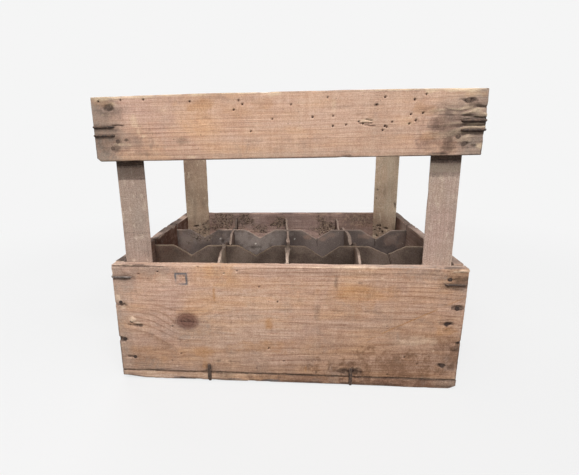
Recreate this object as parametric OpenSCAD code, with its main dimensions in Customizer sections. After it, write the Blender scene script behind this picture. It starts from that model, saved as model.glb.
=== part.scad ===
// Old wooden bottle crate. A low nailed box holds an interlocking grid of notched dividers,
// and four triangular corner posts carry a raised top frame. Iron wire binds the corners.
// The crate stands on z = 0, with its length along X and its front towards -Y.

/* [Box] */
// Outer length of the box, along X
box_l = 402; // [380:1:460]
// Outer width of the box, along Y
box_w = 312; // [295:1:350]
// Height of the front, back and end boards
board_h = 137; // [120:1:160]
// Thickness of the front and back boards
side_t = 12; // [10:0.5:15]
// Thickness of the end boards and end rails
end_t = 14.5; // [11:0.5:17]
// How far the end boards stand above the front and back boards
end_rise = 1.5; // [0:0.5:4]
// Bevel that eases the long edges of boards and rails
edge_ease = 0.8; // [0.2:0.1:2]

/* [Bottom] */
// Thickness of the bottom planks
plank_t = 9; // [7:0.5:13]
// Gap between neighbouring bottom planks
plank_gap = 3; // [1:0.5:8]

/* [Corner posts] */
// Leg of the triangular section of a post
post_leg = 33; // [31:0.5:38]
// Width of the flat left on the two sharp edges of a post
post_blunt = 1.5; // [0.5:0.5:3]
// How far a post stops below the top of the frame
post_drop = 2; // [0:0.5:8]

/* [Top frame] */
// Height of the rails
rail_h = 64.5; // [60:0.5:80]
// Thickness of the long rails
rail_t = 12; // [10:0.5:15]
// Open height between the box and the frame
grip_gap = 120.5; // [90:0.5:150]
// How far a long rail stands past the end rail
rail_over = 1.5; // [0:0.5:3]

/* [Dividers] */
// Thickness of the divider sheets
divider_t = 4; // [3:0.2:5]
// Spacing of the cross dividers, along X
cross_pitch = 91; // [85:1:100]
// Spacing of the long dividers, along Y
long_pitch = 95; // [85:1:100]
// How far the grid sits to the right of the middle of the box
grid_x = 2; // [-4:0.5:4]
// How far the grid sits behind the middle of the box
grid_y = 2; // [-4:0.5:4]
// Depth of the divider tops below the rim of the box
rim_drop = 7; // [3:0.5:15]
// Width of a V notch at the top
vee_w = 49; // [30:1:56]
// Depth of a V notch
vee_d = 14; // [8:0.5:20]
// Radius of the shoulders of a V notch
vee_shoulder_r = 10; // [4:1:16]
// Depth of the saw kerfs in the end boards, from their top
kerf_d = 75; // [50:1:90]
// Reach of a long divider's end tab into its kerf
tab_l = 10; // [6:0.5:10]

/* [Wire] */
// Diameter of the binding wire
wire_d = 2.6; // [2:0.2:3.2]
// Height by which the wire stands proud of the wood
wire_proud = 1.6; // [1:0.1:1.8]
// Bend radius of the wire at its middle line
wire_bend = 3; // [2:0.5:4]
// Length of a corner wire along each face
wire_leg = 23; // [20:0.5:28]
// Depth to which a wire end is driven into the wood
wire_sink = 8; // [5:0.5:9]
// Depth of the upper frame wire below the top of the rail
frame_wire_drop = 30; // [26:0.5:32]
// Spacing of the two frame wires at a corner
frame_wire_step = 9; // [8:0.5:10]
// Depth of the left box wires below the rim
box_wire_drop_left = 15; // [13:0.5:22]
// Depth of the right box wires below the rim
box_wire_drop_right = 19; // [13:0.5:22]
// Place of the left bottom wire along X
bottom_wire_left_x = -91; // [-120:1:-70]
// Place of the right bottom wire along X
bottom_wire_right_x = 79; // [70:1:120]
// Height to which a bottom wire climbs the front and back boards
bottom_wire_up = 18; // [16:0.5:24]

/* [Nails] */
// Length of a nail with its head
nail_l = 29; // [24:0.5:29]
// Diameter of a nail's shank
nail_d = 2.2; // [1.8:0.1:2.6]
// Diameter of a nail's head
head_d = 4.6; // [3.6:0.2:5]
// Thickness of a nail's head
head_t = 1; // [0.6:0.1:1.4]
// Distance from a board's end to the nails in the corner post
post_nail_inset = 18; // [17:0.5:19]
// Distance from the front to the nails of an end board or end rail
end_nail_inset = 21; // [20:0.5:22]
// Height of the lowest side nail above the bottom of its board
nail_first = 18; // [15:0.5:20]
// Rise from one side nail to the next
nail_step = 24; // [20:0.5:24]
// Depth of the top rail nail below the top of the frame
rail_nail_drop = 10.5; // [8:0.5:12]
// Drop from one rail nail to the next below the wires
rail_nail_step = 7.5; // [6:0.5:8]
// Sideways step of the rail nail just below the wires
rail_nail_stagger = 6; // [0:0.5:6]
// Distance from the middle of a nail to the middle of a wire above or below it
nail_to_wire = 6; // [5.5:0.5:7]

/* [Fits] */
// Gap all round a nail or wire in the wood
driven_play = 0.05; // [0.03:0.01:0.1]
// Play of a divider in a slot or kerf
slot_play = 0.4; // [0.2:0.1:1]
// Gap between a divider's end and the board beside it
end_play = 0.4; // [0.2:0.1:0.8]

/* [Hidden] */
$fn = 48;

LEFT = -1;
RIGHT = 1;
FRONT = -1;
BACK = 1;

pine = [0.71, 0.54, 0.42];
grey_pine = [0.63, 0.56, 0.49];
fibreboard = [0.33, 0.29, 0.26];
iron = [0.23, 0.19, 0.17];

// Levels from the ground up
rim_z = plank_t + board_h;
frame_z = rim_z + grip_gap;
top_z = frame_z + rail_h;
crest_z = rim_z - rim_drop;

// Half sizes in plan: outer faces of the box, and the inner faces that the posts stand against
half_l = box_l / 2;
half_w = box_w / 2;
in_l = half_l - end_t;
in_w = half_w - side_t;
frame_half_l = in_l + end_t;
frame_half_w = in_w + rail_t;

plank_w = (box_w - 2 * plank_gap) / 3;
plank_pitch = plank_w + plank_gap;

// Divider places, and the level at which crossing slots meet
cross_x = [for (i = [-1, 0, 1]) grid_x + i * cross_pitch];
long_y = [for (i = [-1, 1]) grid_y + i * long_pitch / 2];
slot_w = divider_t + slot_play;
kerf_z = rim_z + end_rise - kerf_d;
lap_z = (plank_t + crest_z) / 2;
vee_slope = atan(vee_d / (vee_w / 2));
vee_arc_steps = 4;

// Middle line of the wire outside the wood
wire_off = wire_proud - wire_d / 2;

// Spare length of a cutter past the face it opens
cut_past = 1;
// Rise of the end boards' nails above the side nails, so that they miss each other in the post
end_nail_rise = nail_step / 2;
// Drops of the rail nails below the top of the frame. Those of the end rails miss those of the long rails
below_wires = frame_wire_drop + frame_wire_step + nail_to_wire;
long_rail_drops = [rail_nail_drop, below_wires, below_wires + rail_nail_step];
end_rail_drops = [rail_nail_drop + rail_nail_step, below_wires + 1.75 * rail_nail_step];
// Spacing of the rows of nails in the bottom, in shares of a plank and of the box
bottom_edge_shares = [-0.39, -0.13, 0.13, 0.39];
bottom_end_shares = [-0.2, 0.3];

// Turns a shape made for the front left corner to another corner
module at_corner(side, face) {
    mirror([side == RIGHT ? 1 : 0, 0, 0])
        mirror([0, face == BACK ? 1 : 0, 0])
            children();
}

// Rectangle with eased corners, centred on x and standing on y = 0
module eased_rectangle(w, h) {
    e = edge_ease;
    x = w / 2;
    polygon([
        [-x + e, 0], [x - e, 0], [x, e], [x, h - e],
        [x - e, h], [-x + e, h], [-x, h - e], [-x, e]
    ]);
}

// Board of length l along X, thickness t and height h, standing on z = 0
module board(l, t, h) {
    rotate([90, 0, 90])
        linear_extrude(l, center = true)
            eased_rectangle(t, h);
}

// Wire along right-angled points. grow widens and lengthens it to cut its hole
module wire(points, grow = 0) {
    r = wire_d / 2 + grow;
    last = len(points) - 1;
    for (i = [0:last - 1]) {
        a = points[i];
        b = points[i + 1];
        along = (b - a) / norm(b - a);
        from = a + along * (i == 0 ? -grow : wire_bend);
        to = b - along * (i == last - 1 ? -grow : wire_bend);
        wire_run(from, along, norm(to - from), r);
        if (i < last - 1) {
            c = points[i + 2];
            wire_elbow(b, along, (c - b) / norm(c - b), r);
        }
    }
}

// Straight run of wire from a point along a unit direction
module wire_run(from, along, length, r) {
    side = [along[1], along[2], along[0]];
    up = cross(along, side);
    multmatrix([
        [side[0], up[0], along[0], from[0]],
        [side[1], up[1], along[1], from[1]],
        [side[2], up[2], along[2], from[2]]
    ])
        cylinder(h = length, r = r);
}

// Quarter bend of wire about a corner point, from one unit direction to the next
module wire_elbow(corner, along, next, r) {
    middle = corner + (next - along) * wire_bend;
    start = -next;
    axis = cross(start, along);
    multmatrix([
        [start[0], along[0], axis[0], middle[0]],
        [start[1], along[1], axis[1], middle[1]],
        [start[2], along[2], axis[2], middle[2]]
    ])
        rotate_extrude(angle = 90)
            translate([wire_bend, 0])
                circle(r);
}

// Wire bent round a front left corner at (-x, -y), with its end tip stepping in over a ledge
function corner_wire_points(x, y, z, ledge) = [
    [-x + wire_leg, -y + wire_sink, z],
    [-x + wire_leg, -y - wire_off, z],
    [-x - wire_off, -y - wire_off, z],
    [-x - wire_off, -y + wire_leg, z],
    [-x + ledge + wire_sink, -y + wire_leg, z]
];

// Wires of the top frame at one corner: row 0 is the upper wire
module frame_wire(side, face, row, grow = 0) {
    z = top_z - frame_wire_drop - row * frame_wire_step;
    at_corner(side, face)
        wire(corner_wire_points(frame_half_l + rail_over, frame_half_w, z, rail_over), grow);
}

function box_wire_z(side) = rim_z - (side == LEFT ? box_wire_drop_left : box_wire_drop_right);

module box_wire(side, face, grow = 0) {
    at_corner(side, face)
        wire(corner_wire_points(half_l, half_w, box_wire_z(side), 0), grow);
}

// Wire that runs under the bottom in grooves and up the front and back boards
module bottom_wire(x, grow = 0) {
    r = wire_d / 2;
    y = half_w + wire_off;
    up = bottom_wire_up - r;
    wire([
        [x, -half_w + wire_sink, up], [x, -y, up], [x, -y, r],
        [x, y, r], [x, y, up], [x, half_w - wire_sink, up]
    ], grow);
}

module both_bottom_wires(grow) {
    bottom_wire(bottom_wire_left_x, grow);
    bottom_wire(bottom_wire_right_x, grow);
}

// Nail along +Z with its head flush at z = 0. grow makes the hole
module nail(grow = 0) {
    cylinder(h = head_t, d = head_d + 2 * grow);
    translate([0, 0, head_t])
        cylinder(h = nail_l - head_t + grow, d = nail_d + 2 * grow);
}

// Nails through a long board: by turns into the post and into the end board, and one above the wire
module side_nails(face, grow = 0) {
    for (side = [LEFT, RIGHT])
        at_corner(side, face) {
            for (i = [0:3]) {
                inset = i % 2 == 0 ? post_nail_inset : end_t / 2;
                side_nail(half_l - inset, plank_t + nail_first + i * nail_step, grow);
            }
            side_nail(half_l - post_nail_inset, box_wire_z(side) + nail_to_wire, grow);
        }
}

module side_nail(x, z, grow) {
    translate([-x, -half_w, z])
        rotate([-90, 0, 0])
            nail(grow);
}

// Nails through an end board into its two posts
module end_nails(side, grow = 0) {
    for (face = [FRONT, BACK], i = [0:3])
        at_corner(side, face)
            end_nail(half_l, plank_t + nail_first + end_nail_rise + i * nail_step, grow);
}

module end_nail(x, z, grow) {
    translate([-x, -half_w + end_nail_inset, z])
        rotate([0, 90, 0])
            nail(grow);
}

// Nails through a long rail into the posts
module long_rail_nails(face, grow = 0) {
    for (side = [LEFT, RIGHT], i = [0:2]) {
        inset = post_nail_inset + (i == 1 ? rail_nail_stagger : 0);
        at_corner(side, face)
            translate([-half_l + inset, -frame_half_w, top_z - long_rail_drops[i]])
                rotate([-90, 0, 0])
                    nail(grow);
    }
}

// Nails through an end rail into its two posts
module end_rail_nails(side, grow = 0) {
    for (face = [FRONT, BACK], drop = end_rail_drops)
        at_corner(side, face)
            end_nail(frame_half_l, top_z - drop, grow);
}

// Nails driven up through the planks into the lower edges of the boards
module bottom_nails(grow = 0) {
    color(iron) {
        for (face = [FRONT, BACK], share = bottom_edge_shares)
            translate([share * box_l, face * (half_w - side_t / 2), 0])
                nail(grow);
        for (side = [LEFT, RIGHT], row = [-1, 0, 1], share = bottom_end_shares)
            translate([side * (half_l - end_t / 2), row * plank_pitch + share * plank_w, 0])
                nail(grow);
    }
}

module front_or_back_board(face) {
    color(pine)
        difference() {
            translate([0, face * (half_w - side_t / 2), plank_t])
                board(box_l, side_t, board_h);
            side_nails(face, driven_play);
            bottom_nails(driven_play);
            both_bottom_wires(driven_play);
            for (side = [LEFT, RIGHT])
                box_wire(side, face, driven_play);
        }
}

// End board with two saw kerfs that take the tabs of the long dividers
module end_board(side) {
    color(pine)
        difference() {
            translate([side * (half_l - end_t / 2), 0, plank_t])
                rotate([0, 0, 90])
                    board(2 * in_w, end_t, board_h + end_rise);
            for (y = long_y)
                translate([side * (half_l - end_t / 2), y, kerf_z + (kerf_d + cut_past) / 2])
                    cube([end_t + 2 * cut_past, slot_w, kerf_d + cut_past], center = true);
            for (face = [FRONT, BACK]) {
                side_nails(face, driven_play);
                box_wire(side, face, driven_play);
            }
            end_nails(side, driven_play);
            bottom_nails(driven_play);
        }
}

// Bottom plank: row -1 is the front one
module bottom_plank(row) {
    color(pine)
        difference() {
            translate([0, row * plank_pitch, 0])
                board(box_l, plank_w, plank_t);
            bottom_nails(driven_play);
            both_bottom_wires(driven_play);
        }
}

// Triangular post in the corner of the box, with its slanted face towards the bottles
module post(side, face) {
    color(grey_pine)
        difference() {
            at_corner(side, face)
                translate([-in_l, -in_w, plank_t])
                    linear_extrude(top_z - post_drop - plank_t)
                        polygon([
                            [0, 0], [post_leg, 0], [post_leg, post_blunt],
                            [post_blunt, post_leg], [0, post_leg]
                        ]);
            side_nails(face, driven_play);
            end_nails(side, driven_play);
            long_rail_nails(face, driven_play);
            end_rail_nails(side, driven_play);
        }
}

module long_rail(face) {
    color(pine)
        difference() {
            translate([0, face * (frame_half_w - rail_t / 2), frame_z])
                board(2 * (frame_half_l + rail_over), rail_t, rail_h);
            long_rail_nails(face, driven_play);
            for (side = [LEFT, RIGHT], row = [0, 1])
                frame_wire(side, face, row, driven_play);
        }
}

module end_rail(side) {
    color(pine)
        difference() {
            translate([side * (frame_half_l - end_t / 2), 0, frame_z])
                rotate([0, 0, 90])
                    board(2 * in_w, end_t, rail_h);
            end_rail_nails(side, driven_play);
            for (face = [FRONT, BACK], row = [0, 1])
                frame_wire(side, face, row, driven_play);
        }
}

// Outline of one V notch centred on x, read from right to left, with arcs at its shoulders
function vee(x) = let (
    r = vee_shoulder_r,
    reach = vee_w / 2 + r * tan(vee_slope / 2),
    turn = [for (i = [0:vee_arc_steps]) vee_slope * i / vee_arc_steps]
) concat(
    [for (a = turn) [x + reach - r * sin(a), crest_z - r * (1 - cos(a))]],
    [[x, crest_z - vee_d]],
    [for (i = [vee_arc_steps:-1:0]) [x - reach + r * sin(turn[i]), crest_z - r * (1 - cos(turn[i]))]]
);

// Middles of the cells between a list of dividers and the boards at both ends, from right to left
function cell_middles(ends, places) = let (
    walls = concat([-ends], places, [ends])
) [for (i = [len(walls) - 1:-1:1]) (walls[i] + walls[i - 1]) / 2];

// Sheet of divider standing in the XZ plane
module divider_sheet(outline) {
    rotate([90, 0, 0])
        linear_extrude(divider_t, center = true)
            polygon(outline);
}

// Divider along X, tabbed into the end boards and slotted from below
module long_divider(y) {
    end = in_l - end_play;
    tip = in_l + tab_l;
    tab_z = kerf_z + slot_play;
    color(fibreboard)
        translate([0, y, 0])
            difference() {
                divider_sheet(concat(
                    [[-end, plank_t], [end, plank_t], [end, tab_z], [tip, tab_z], [tip, crest_z]],
                    [for (x = cell_middles(in_l, cross_x)) each vee(x)],
                    [[-tip, crest_z], [-tip, tab_z], [-end, tab_z]]
                ));
                for (x = cross_x)
                    translate([x, 0, (plank_t - cut_past + lap_z) / 2])
                        cube([slot_w, divider_t + 2 * cut_past, lap_z - plank_t + cut_past], center = true);
            }
}

// Divider along Y, slotted from above to pass the long dividers
module cross_divider(x) {
    end = in_w - end_play;
    color(fibreboard)
        translate([x, 0, 0])
            difference() {
                rotate([0, 0, 90])
                    divider_sheet(concat(
                        [[-end, plank_t], [end, plank_t], [end, crest_z]],
                        [for (y = cell_middles(in_w, long_y)) each vee(y)],
                        [[-end, crest_z]]
                    ));
                for (y = long_y)
                    translate([0, y, (lap_z + crest_z + cut_past) / 2])
                        cube([divider_t + 2 * cut_past, slot_w, crest_z + cut_past - lap_z], center = true);
            }
}

module iron() {
    color(iron)
        children();
}

front_or_back_board(FRONT);  // front_board
front_or_back_board(BACK);  // back_board
end_board(LEFT);  // left_end_board
end_board(RIGHT);  // right_end_board
bottom_plank(-1);  // bottom_plank_front
bottom_plank(0);  // bottom_plank_middle
bottom_plank(1);  // bottom_plank_back
post(LEFT, FRONT);  // post_front_left
post(RIGHT, FRONT);  // post_front_right
post(LEFT, BACK);  // post_back_left
post(RIGHT, BACK);  // post_back_right
long_rail(FRONT);  // front_rail
long_rail(BACK);  // back_rail
end_rail(LEFT);  // left_rail
end_rail(RIGHT);  // right_rail
long_divider(long_y[0]);  // long_divider_front
long_divider(long_y[1]);  // long_divider_back
cross_divider(cross_x[0]);  // cross_divider_left
cross_divider(cross_x[1]);  // cross_divider_middle
cross_divider(cross_x[2]);  // cross_divider_right
iron() frame_wire(LEFT, FRONT, 0);  // frame_wire_upper_front_left
iron() frame_wire(LEFT, FRONT, 1);  // frame_wire_lower_front_left
iron() frame_wire(RIGHT, FRONT, 0);  // frame_wire_upper_front_right
iron() frame_wire(RIGHT, FRONT, 1);  // frame_wire_lower_front_right
iron() frame_wire(LEFT, BACK, 0);  // frame_wire_upper_back_left
iron() frame_wire(LEFT, BACK, 1);  // frame_wire_lower_back_left
iron() frame_wire(RIGHT, BACK, 0);  // frame_wire_upper_back_right
iron() frame_wire(RIGHT, BACK, 1);  // frame_wire_lower_back_right
iron() box_wire(LEFT, FRONT);  // box_wire_front_left
iron() box_wire(RIGHT, FRONT);  // box_wire_front_right
iron() box_wire(LEFT, BACK);  // box_wire_back_left
iron() box_wire(RIGHT, BACK);  // box_wire_back_right
iron() bottom_wire(bottom_wire_left_x);  // bottom_wire_left
iron() bottom_wire(bottom_wire_right_x);  // bottom_wire_right
iron() side_nails(FRONT);  // front_board_nails
iron() side_nails(BACK);  // back_board_nails
iron() end_nails(LEFT);  // left_end_nails
iron() end_nails(RIGHT);  // right_end_nails
iron() long_rail_nails(FRONT);  // front_rail_nails
iron() long_rail_nails(BACK);  // back_rail_nails
iron() end_rail_nails(LEFT);  // left_rail_nails
iron() end_rail_nails(RIGHT);  // right_rail_nails
bottom_nails();
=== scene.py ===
"""Old wooden bottle crate: worn boards and posts, a dusty divider grid, rusty wire and nails."""

import math

import bpy
import numpy as np
from mathutils import Matrix, Vector


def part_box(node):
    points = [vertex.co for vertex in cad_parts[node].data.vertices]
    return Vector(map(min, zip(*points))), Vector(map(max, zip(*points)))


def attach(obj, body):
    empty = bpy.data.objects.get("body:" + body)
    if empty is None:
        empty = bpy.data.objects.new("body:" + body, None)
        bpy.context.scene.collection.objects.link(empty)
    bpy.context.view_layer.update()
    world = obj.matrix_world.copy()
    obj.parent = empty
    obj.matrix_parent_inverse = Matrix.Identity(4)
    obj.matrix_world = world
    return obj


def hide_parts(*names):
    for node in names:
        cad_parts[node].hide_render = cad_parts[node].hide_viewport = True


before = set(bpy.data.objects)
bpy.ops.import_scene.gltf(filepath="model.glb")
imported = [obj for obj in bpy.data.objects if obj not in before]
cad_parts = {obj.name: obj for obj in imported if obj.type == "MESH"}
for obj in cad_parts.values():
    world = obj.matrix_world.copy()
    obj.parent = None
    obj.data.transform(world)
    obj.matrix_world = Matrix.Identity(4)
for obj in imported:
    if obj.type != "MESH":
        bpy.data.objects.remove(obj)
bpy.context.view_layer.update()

# Lengths are in millimetres, apart from those of the lamps and the floor, which are in metres
MM = 0.001

# Camera, as the photograph's frame gives it
PHOTO_W = 579
CAMERA_PLACE = (17.96, -563.25, 288.25)
CAMERA_YAW = 0.0798
CAMERA_PITCH = -0.2317
CAMERA_ROLL = 0.0155
FOCAL_PX = 381.82
CENTRE_PX = (269.57, 226.93)
PHOTO_MIDDLE_PX = (289.5, 237.5)
SENSOR_W = 36.0

# Lamps: azimuth to the right of the front, elevation, share of the light on an upright front face
LAMP_FAR = 3.0
LAMP_AIM_Z = 0.16
LAMP_SIZE = (2.2, 0.16)
LAMPS = {
    "low_lamp": (4, 27, 0.27),
    "high_lamp": (6, 57, 0.55),
    "back_lamp": (-150, 40, 0.30),
    "left_lamp": (-66, 35, 0.10),
    "right_lamp": (62, 35, 0.16),
}
FILL_LIGHT = 0.10
BACKDROP = 0.9131

# Floor: tones, share and reach of the shadow, half sizes of the dark place under the crate
FLOOR_BOUNCE = 0.12
FLOOR_TONE = 0.62
FLOOR_SHADOW = 0.22
FLOOR_FADE = (0.35, 1.1)
FLOOR_UNDER = (0.2, 0.155)
FLOOR_UNDER_SOFT = 0.012
FLOOR_HALF = 20.0
FLOOR_Z = -0.0036

# Divider grid, as the solids have it
VEE_W = 49.0
VEE_D = 14.0
VEE_SHOULDER_R = 10.0
SLOT_PLAY = 0.4
KERF_DEPTH = 75.0

# Steps of a corner arc and of an end's rounding, places of a cap's rings, skirts beside a jump of an edge
ARC_STEPS = 4
END_STEPS = 4
CAP_SHARES = (0.4, 0.75)
CAP_REACH = 0.85
LEAST_BEND = 0.03
JUMP = 0.06
JUMP_SKIRT = 0.3
SHARP_ANGLE = 70

# Axes of a piece in the room: along the grain, through the thickness, up the height
LIES = {
    "x": ((1, 0, 0), (0, 1, 0), (0, 0, 1)),
    "y": ((0, 1, 0), (-1, 0, 0), (0, 0, 1)),
    "flat": ((1, 0, 0), (0, 0, -1), (0, 1, 0)),
    "z": ((0, 0, 1), (1, 0, 0), (0, 1, 0)),
}

# Hash of the noise: a factor per axis, rounds of a shift and a factor, and the place that a seed moves to
HASH_PRIMES = np.array([73856093, 19349663, 83492791])
HASH_ROUNDS = ((15, 2246822519), (13, 3266489917))
LOW_32 = 0xFFFFFFFF
LOW_16 = 0xFFFF
SEED_STEP = 17.37
FIBRE_STEP = np.array([310.0, 170.0, 230.0])


def srgb(red, green, blue):
    """Linear colour of an 8-bit screen colour."""
    shares = np.array([red, green, blue]) / 255
    linear = np.where(shares <= 0.04045, shares / 12.92, ((shares + 0.055) / 1.055) ** 2.4)
    return (*linear.tolist(), 1.0)


def even(level):
    """Grey of one linear level."""
    return (level, level, level, 1)


def smooth(low, high, value):
    """Eased step from 0 at low to 1 at high."""
    part = np.clip((value - low) / (high - low), 0, 1)
    return part * part * (3 - 2 * part)


def most(*fields):
    """Strongest of several fields, point by point."""
    return np.maximum.reduce(fields)


def noise(points, size, seed):
    """Smooth noise from 0 to 1: hashed values at the corners of a lattice of that size, eased in between."""
    place = points / np.asarray(size, float) + SEED_STEP * seed
    base = np.floor(place).astype(np.int64)
    part = place - base
    ease = part * part * (3 - 2 * part)
    total = np.zeros(points.shape[:-1])
    for corner in np.ndindex(2, 2, 2):
        mixed = (base + corner) @ HASH_PRIMES & LOW_32
        for shift, factor in HASH_ROUNDS:
            mixed = (mixed ^ (mixed >> shift)) * factor & LOW_32
        value = ((mixed ^ (mixed >> 16)) & LOW_16) / LOW_16
        total += value * np.prod(np.where(corner, ease, 1 - ease), axis=-1)
    return total


def line_noise(along, size, seed):
    """Smooth noise along one length."""
    along = np.asarray(along, float)
    return noise(np.stack([along, 0 * along, 0 * along], axis=-1), size, seed)


def node_box(node):
    """Lowest and highest corner of a CAD node."""
    low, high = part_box(node)
    return np.array(low) / MM, np.array(high) / MM


def node_middle(node, axis):
    """Middle of a CAD node along one axis of the room."""
    low, high = node_box(node)
    return float((low[axis] + high[axis]) / 2)


def part_middles(node):
    """Middles of a node's separate solids: points that share a triangle take the lowest label, until none
    changes."""
    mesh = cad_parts[node].data
    points = np.zeros(len(mesh.vertices) * 3)
    mesh.vertices.foreach_get("co", points)
    spots, owner = np.unique(np.round(points.reshape(-1, 3) / MM, 3), axis=0, return_inverse=True)
    mesh.calc_loop_triangles()
    triangles = np.zeros(len(mesh.loop_triangles) * 3, int)
    mesh.loop_triangles.foreach_get("vertices", triangles)
    triangles = owner.reshape(-1)[triangles].reshape(-1, 3)
    labels = np.arange(len(spots))
    changed = True
    while changed:
        lowest = labels[triangles].min(axis=1)
        fresh = labels.copy()
        for corner in range(3):
            np.minimum.at(fresh, triangles[:, corner], lowest)
        changed = not np.array_equal(fresh, labels)
        labels = fresh
    parts = [spots[labels == label] for label in np.unique(labels)]
    return np.array([(part.min(axis=0) + part.max(axis=0)) / 2 for part in parts])


class Skin:
    """Rings of points over one piece, in its own axes: along, through and up. Its marks are fields on those
    points, which the finishes read."""

    def __init__(self, points, normals, edge, lie, middle):
        self.points = points
        self.normals = normals
        self.edge = edge
        self.lie = np.array(LIES[lie], float)
        self.middle = middle
        self.marks = {}

    @property
    def along(self):
        """Places along the grain."""
        return self.points[..., 0]

    @property
    def through(self):
        """Places through the thickness."""
        return self.points[..., 1]

    @property
    def up(self):
        """Places up the height."""
        return self.points[..., 2]

    def noise(self, size, seed):
        """Smooth noise over the points."""
        return noise(self.points, size, seed)

    def face(self, sign):
        """1 on the face that looks along the thickness by that sign, 0 elsewhere."""
        return (self.through * sign > 0).astype(float)

    def looks_up(self):
        """1 where the surface looks up."""
        return smooth(0.4, 0.9, self.normals[..., 2])

    def above_middle(self):
        """Height above the middle of the piece."""
        return self.up - (self.up.min() + self.up.max()) / 2

    def push(self, depth):
        """Sinks each point by a depth along its normal."""
        self.points = self.points - self.normals * depth[..., None]

    def shift_end(self, start, end, heights, shifts):
        """Moves the far end of a board along it, by a shift that depends on the height."""
        self.points[..., 0] += smooth(start, end, self.along) * np.interp(self.up, heights, shifts)

    def room_points(self):
        """Points in the room's axes, in metres."""
        return (self.points @ self.lie + self.middle) * MM


def carried_skin(stations, outline, radius, counts, end_round, cap_reach, lie, middle):
    """Outline carried along stations. Each corner is an arc of its own radius, the ends are rounded alike,
    and each cap is rings of the outline drawn in, down to one point."""
    arc = np.linspace(0, math.pi / 2, END_STEPS)[1:]
    caps = end_round + (cap_reach - end_round) * np.array(CAP_SHARES)
    first, last = stations[0], stations[-1]
    flat = np.full(len(caps) + 1, end_round)
    past = np.concatenate([end_round * np.sin(arc), flat])
    drawn = np.concatenate([end_round * (1 - np.cos(arc)), caps, caps[-1:]])
    lean = np.concatenate([np.sin(arc), np.ones(len(flat))])
    along = np.concatenate([first - past[::-1], stations, last + past])
    inset = np.concatenate([drawn[::-1], 0 * stations, drawn])[:, None, None]
    tilt = np.concatenate([-lean[::-1], 0 * stations, lean])

    held = np.clip(along, first, last)
    corners = outline(held)
    step = np.roll(corners, -1, axis=1) - corners
    leave = step / np.linalg.norm(step, axis=-1, keepdims=True)
    normal_out = np.stack([-leave[..., 1], leave[..., 0]], axis=-1)
    arrive = np.roll(leave, 1, axis=1)
    normal_in = np.roll(normal_out, 1, axis=1)
    across = (normal_in * normal_out).sum(-1, keepdims=True)
    corners = corners - inset * (normal_in + normal_out) / (1 + across)
    turn = np.arccos(np.clip(across, -1, 1))
    bend = np.maximum(radius(held)[..., None] - inset, LEAST_BEND)
    centre = corners - bend * np.tan(turn / 2) * arrive - bend * normal_in

    angle = turn[..., None, :] * np.linspace(0, 1, ARC_STEPS)[:, None]
    arc_normals = normal_in[:, :, None] * np.cos(angle) + arrive[:, :, None] * np.sin(angle)
    arc_points = centre[:, :, None] + bend[:, :, None] * arc_normals
    sides = corners.shape[1]
    points, normals = [], []
    for side in range(sides):
        start = arc_points[:, side, -1:]
        end = arc_points[:, (side + 1) % sides, :1]
        part = (np.arange(counts[side]) + 1)[:, None] / (counts[side] + 1)
        points += [arc_points[:, side], start + (end - start) * part]
        normals += [arc_normals[:, side], np.repeat(normal_out[:, side, None], counts[side], axis=1)]
    points = np.concatenate(points, axis=1)
    normals = np.concatenate(normals, axis=1)

    gaps = np.linalg.norm(points[:, :, None] - corners[:, None], axis=-1).min(-1)
    to_end = np.minimum(along - along[0], along[-1] - along)[:, None] + inset[..., 0]
    points[[0, -1]] = corners[[0, -1]].mean(axis=1, keepdims=True)
    wide = points.shape[1]
    full = np.concatenate([np.repeat(along[:, None, None], wide, axis=1), points], axis=-1)
    upright = np.sqrt(1 - tilt ** 2)[:, None, None]
    lead = np.repeat(tilt[:, None, None], wide, axis=1)
    facing = np.concatenate([lead, normals * upright], axis=-1)
    return Skin(full, facing, np.minimum(gaps, to_end), lie, middle)


def skin_object(name, skin, finish):
    """Closed mesh over a skin's rings: quads between rings, and a fan at the point of each cap."""
    rings = skin.room_points()
    rows, cols = rings.shape[:2]

    def per_point(values):
        """Values of the rings, with one value for the point of each cap."""
        middle = values[1:-1].reshape(-1, *values.shape[2:])
        return np.concatenate([values[0, :1], middle, values[-1, :1]])

    points = per_point(rings)
    index = np.arange(1, 1 + (rows - 2) * cols).reshape(rows - 2, cols)
    beside = np.roll(index, -1, axis=1)
    quads = np.stack([index[:-1], index[1:], beside[1:], beside[:-1]], axis=-1).reshape(-1, 4)
    first = np.stack([0 * index[0], index[0], beside[0]], axis=-1)
    last = np.stack([index[-1], 0 * index[-1] + len(points) - 1, beside[-1]], axis=-1)
    fans = np.concatenate([first, last])
    mesh = bpy.data.meshes.new(name)
    mesh.vertices.add(len(points))
    mesh.vertices.foreach_set("co", points.ravel())
    mesh.loops.add(quads.size + fans.size)
    mesh.loops.foreach_set("vertex_index", np.concatenate([fans.ravel(), quads.ravel()]))
    starts = np.concatenate([np.arange(len(fans)) * 3, fans.size + np.arange(len(quads)) * 4])
    mesh.polygons.add(len(starts))
    mesh.polygons.foreach_set("loop_start", starts)
    mesh.update(calc_edges=True)
    mesh.validate()
    mesh.shade_smooth()
    mesh.set_sharp_from_angle(angle=math.radians(SHARP_ANGLE))
    for mark, values in skin.marks.items():
        kind, field = ("FLOAT_VECTOR", "vector") if values.ndim == 3 else ("FLOAT", "value")
        layer = mesh.attributes.new(mark, kind, "POINT")
        layer.data.foreach_set(field, per_point(values).astype(np.float32).ravel())
    mesh.materials.append(finish)
    made = bpy.data.objects.new(name, mesh)
    bpy.context.scene.collection.objects.link(made)
    return made


def dress(node, skin, finish):
    """Puts the skin in the place of its CAD node."""
    made = skin_object("worn_" + node, skin, finish)
    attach(made, "root")
    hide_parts(node)


# Wood fields


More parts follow.
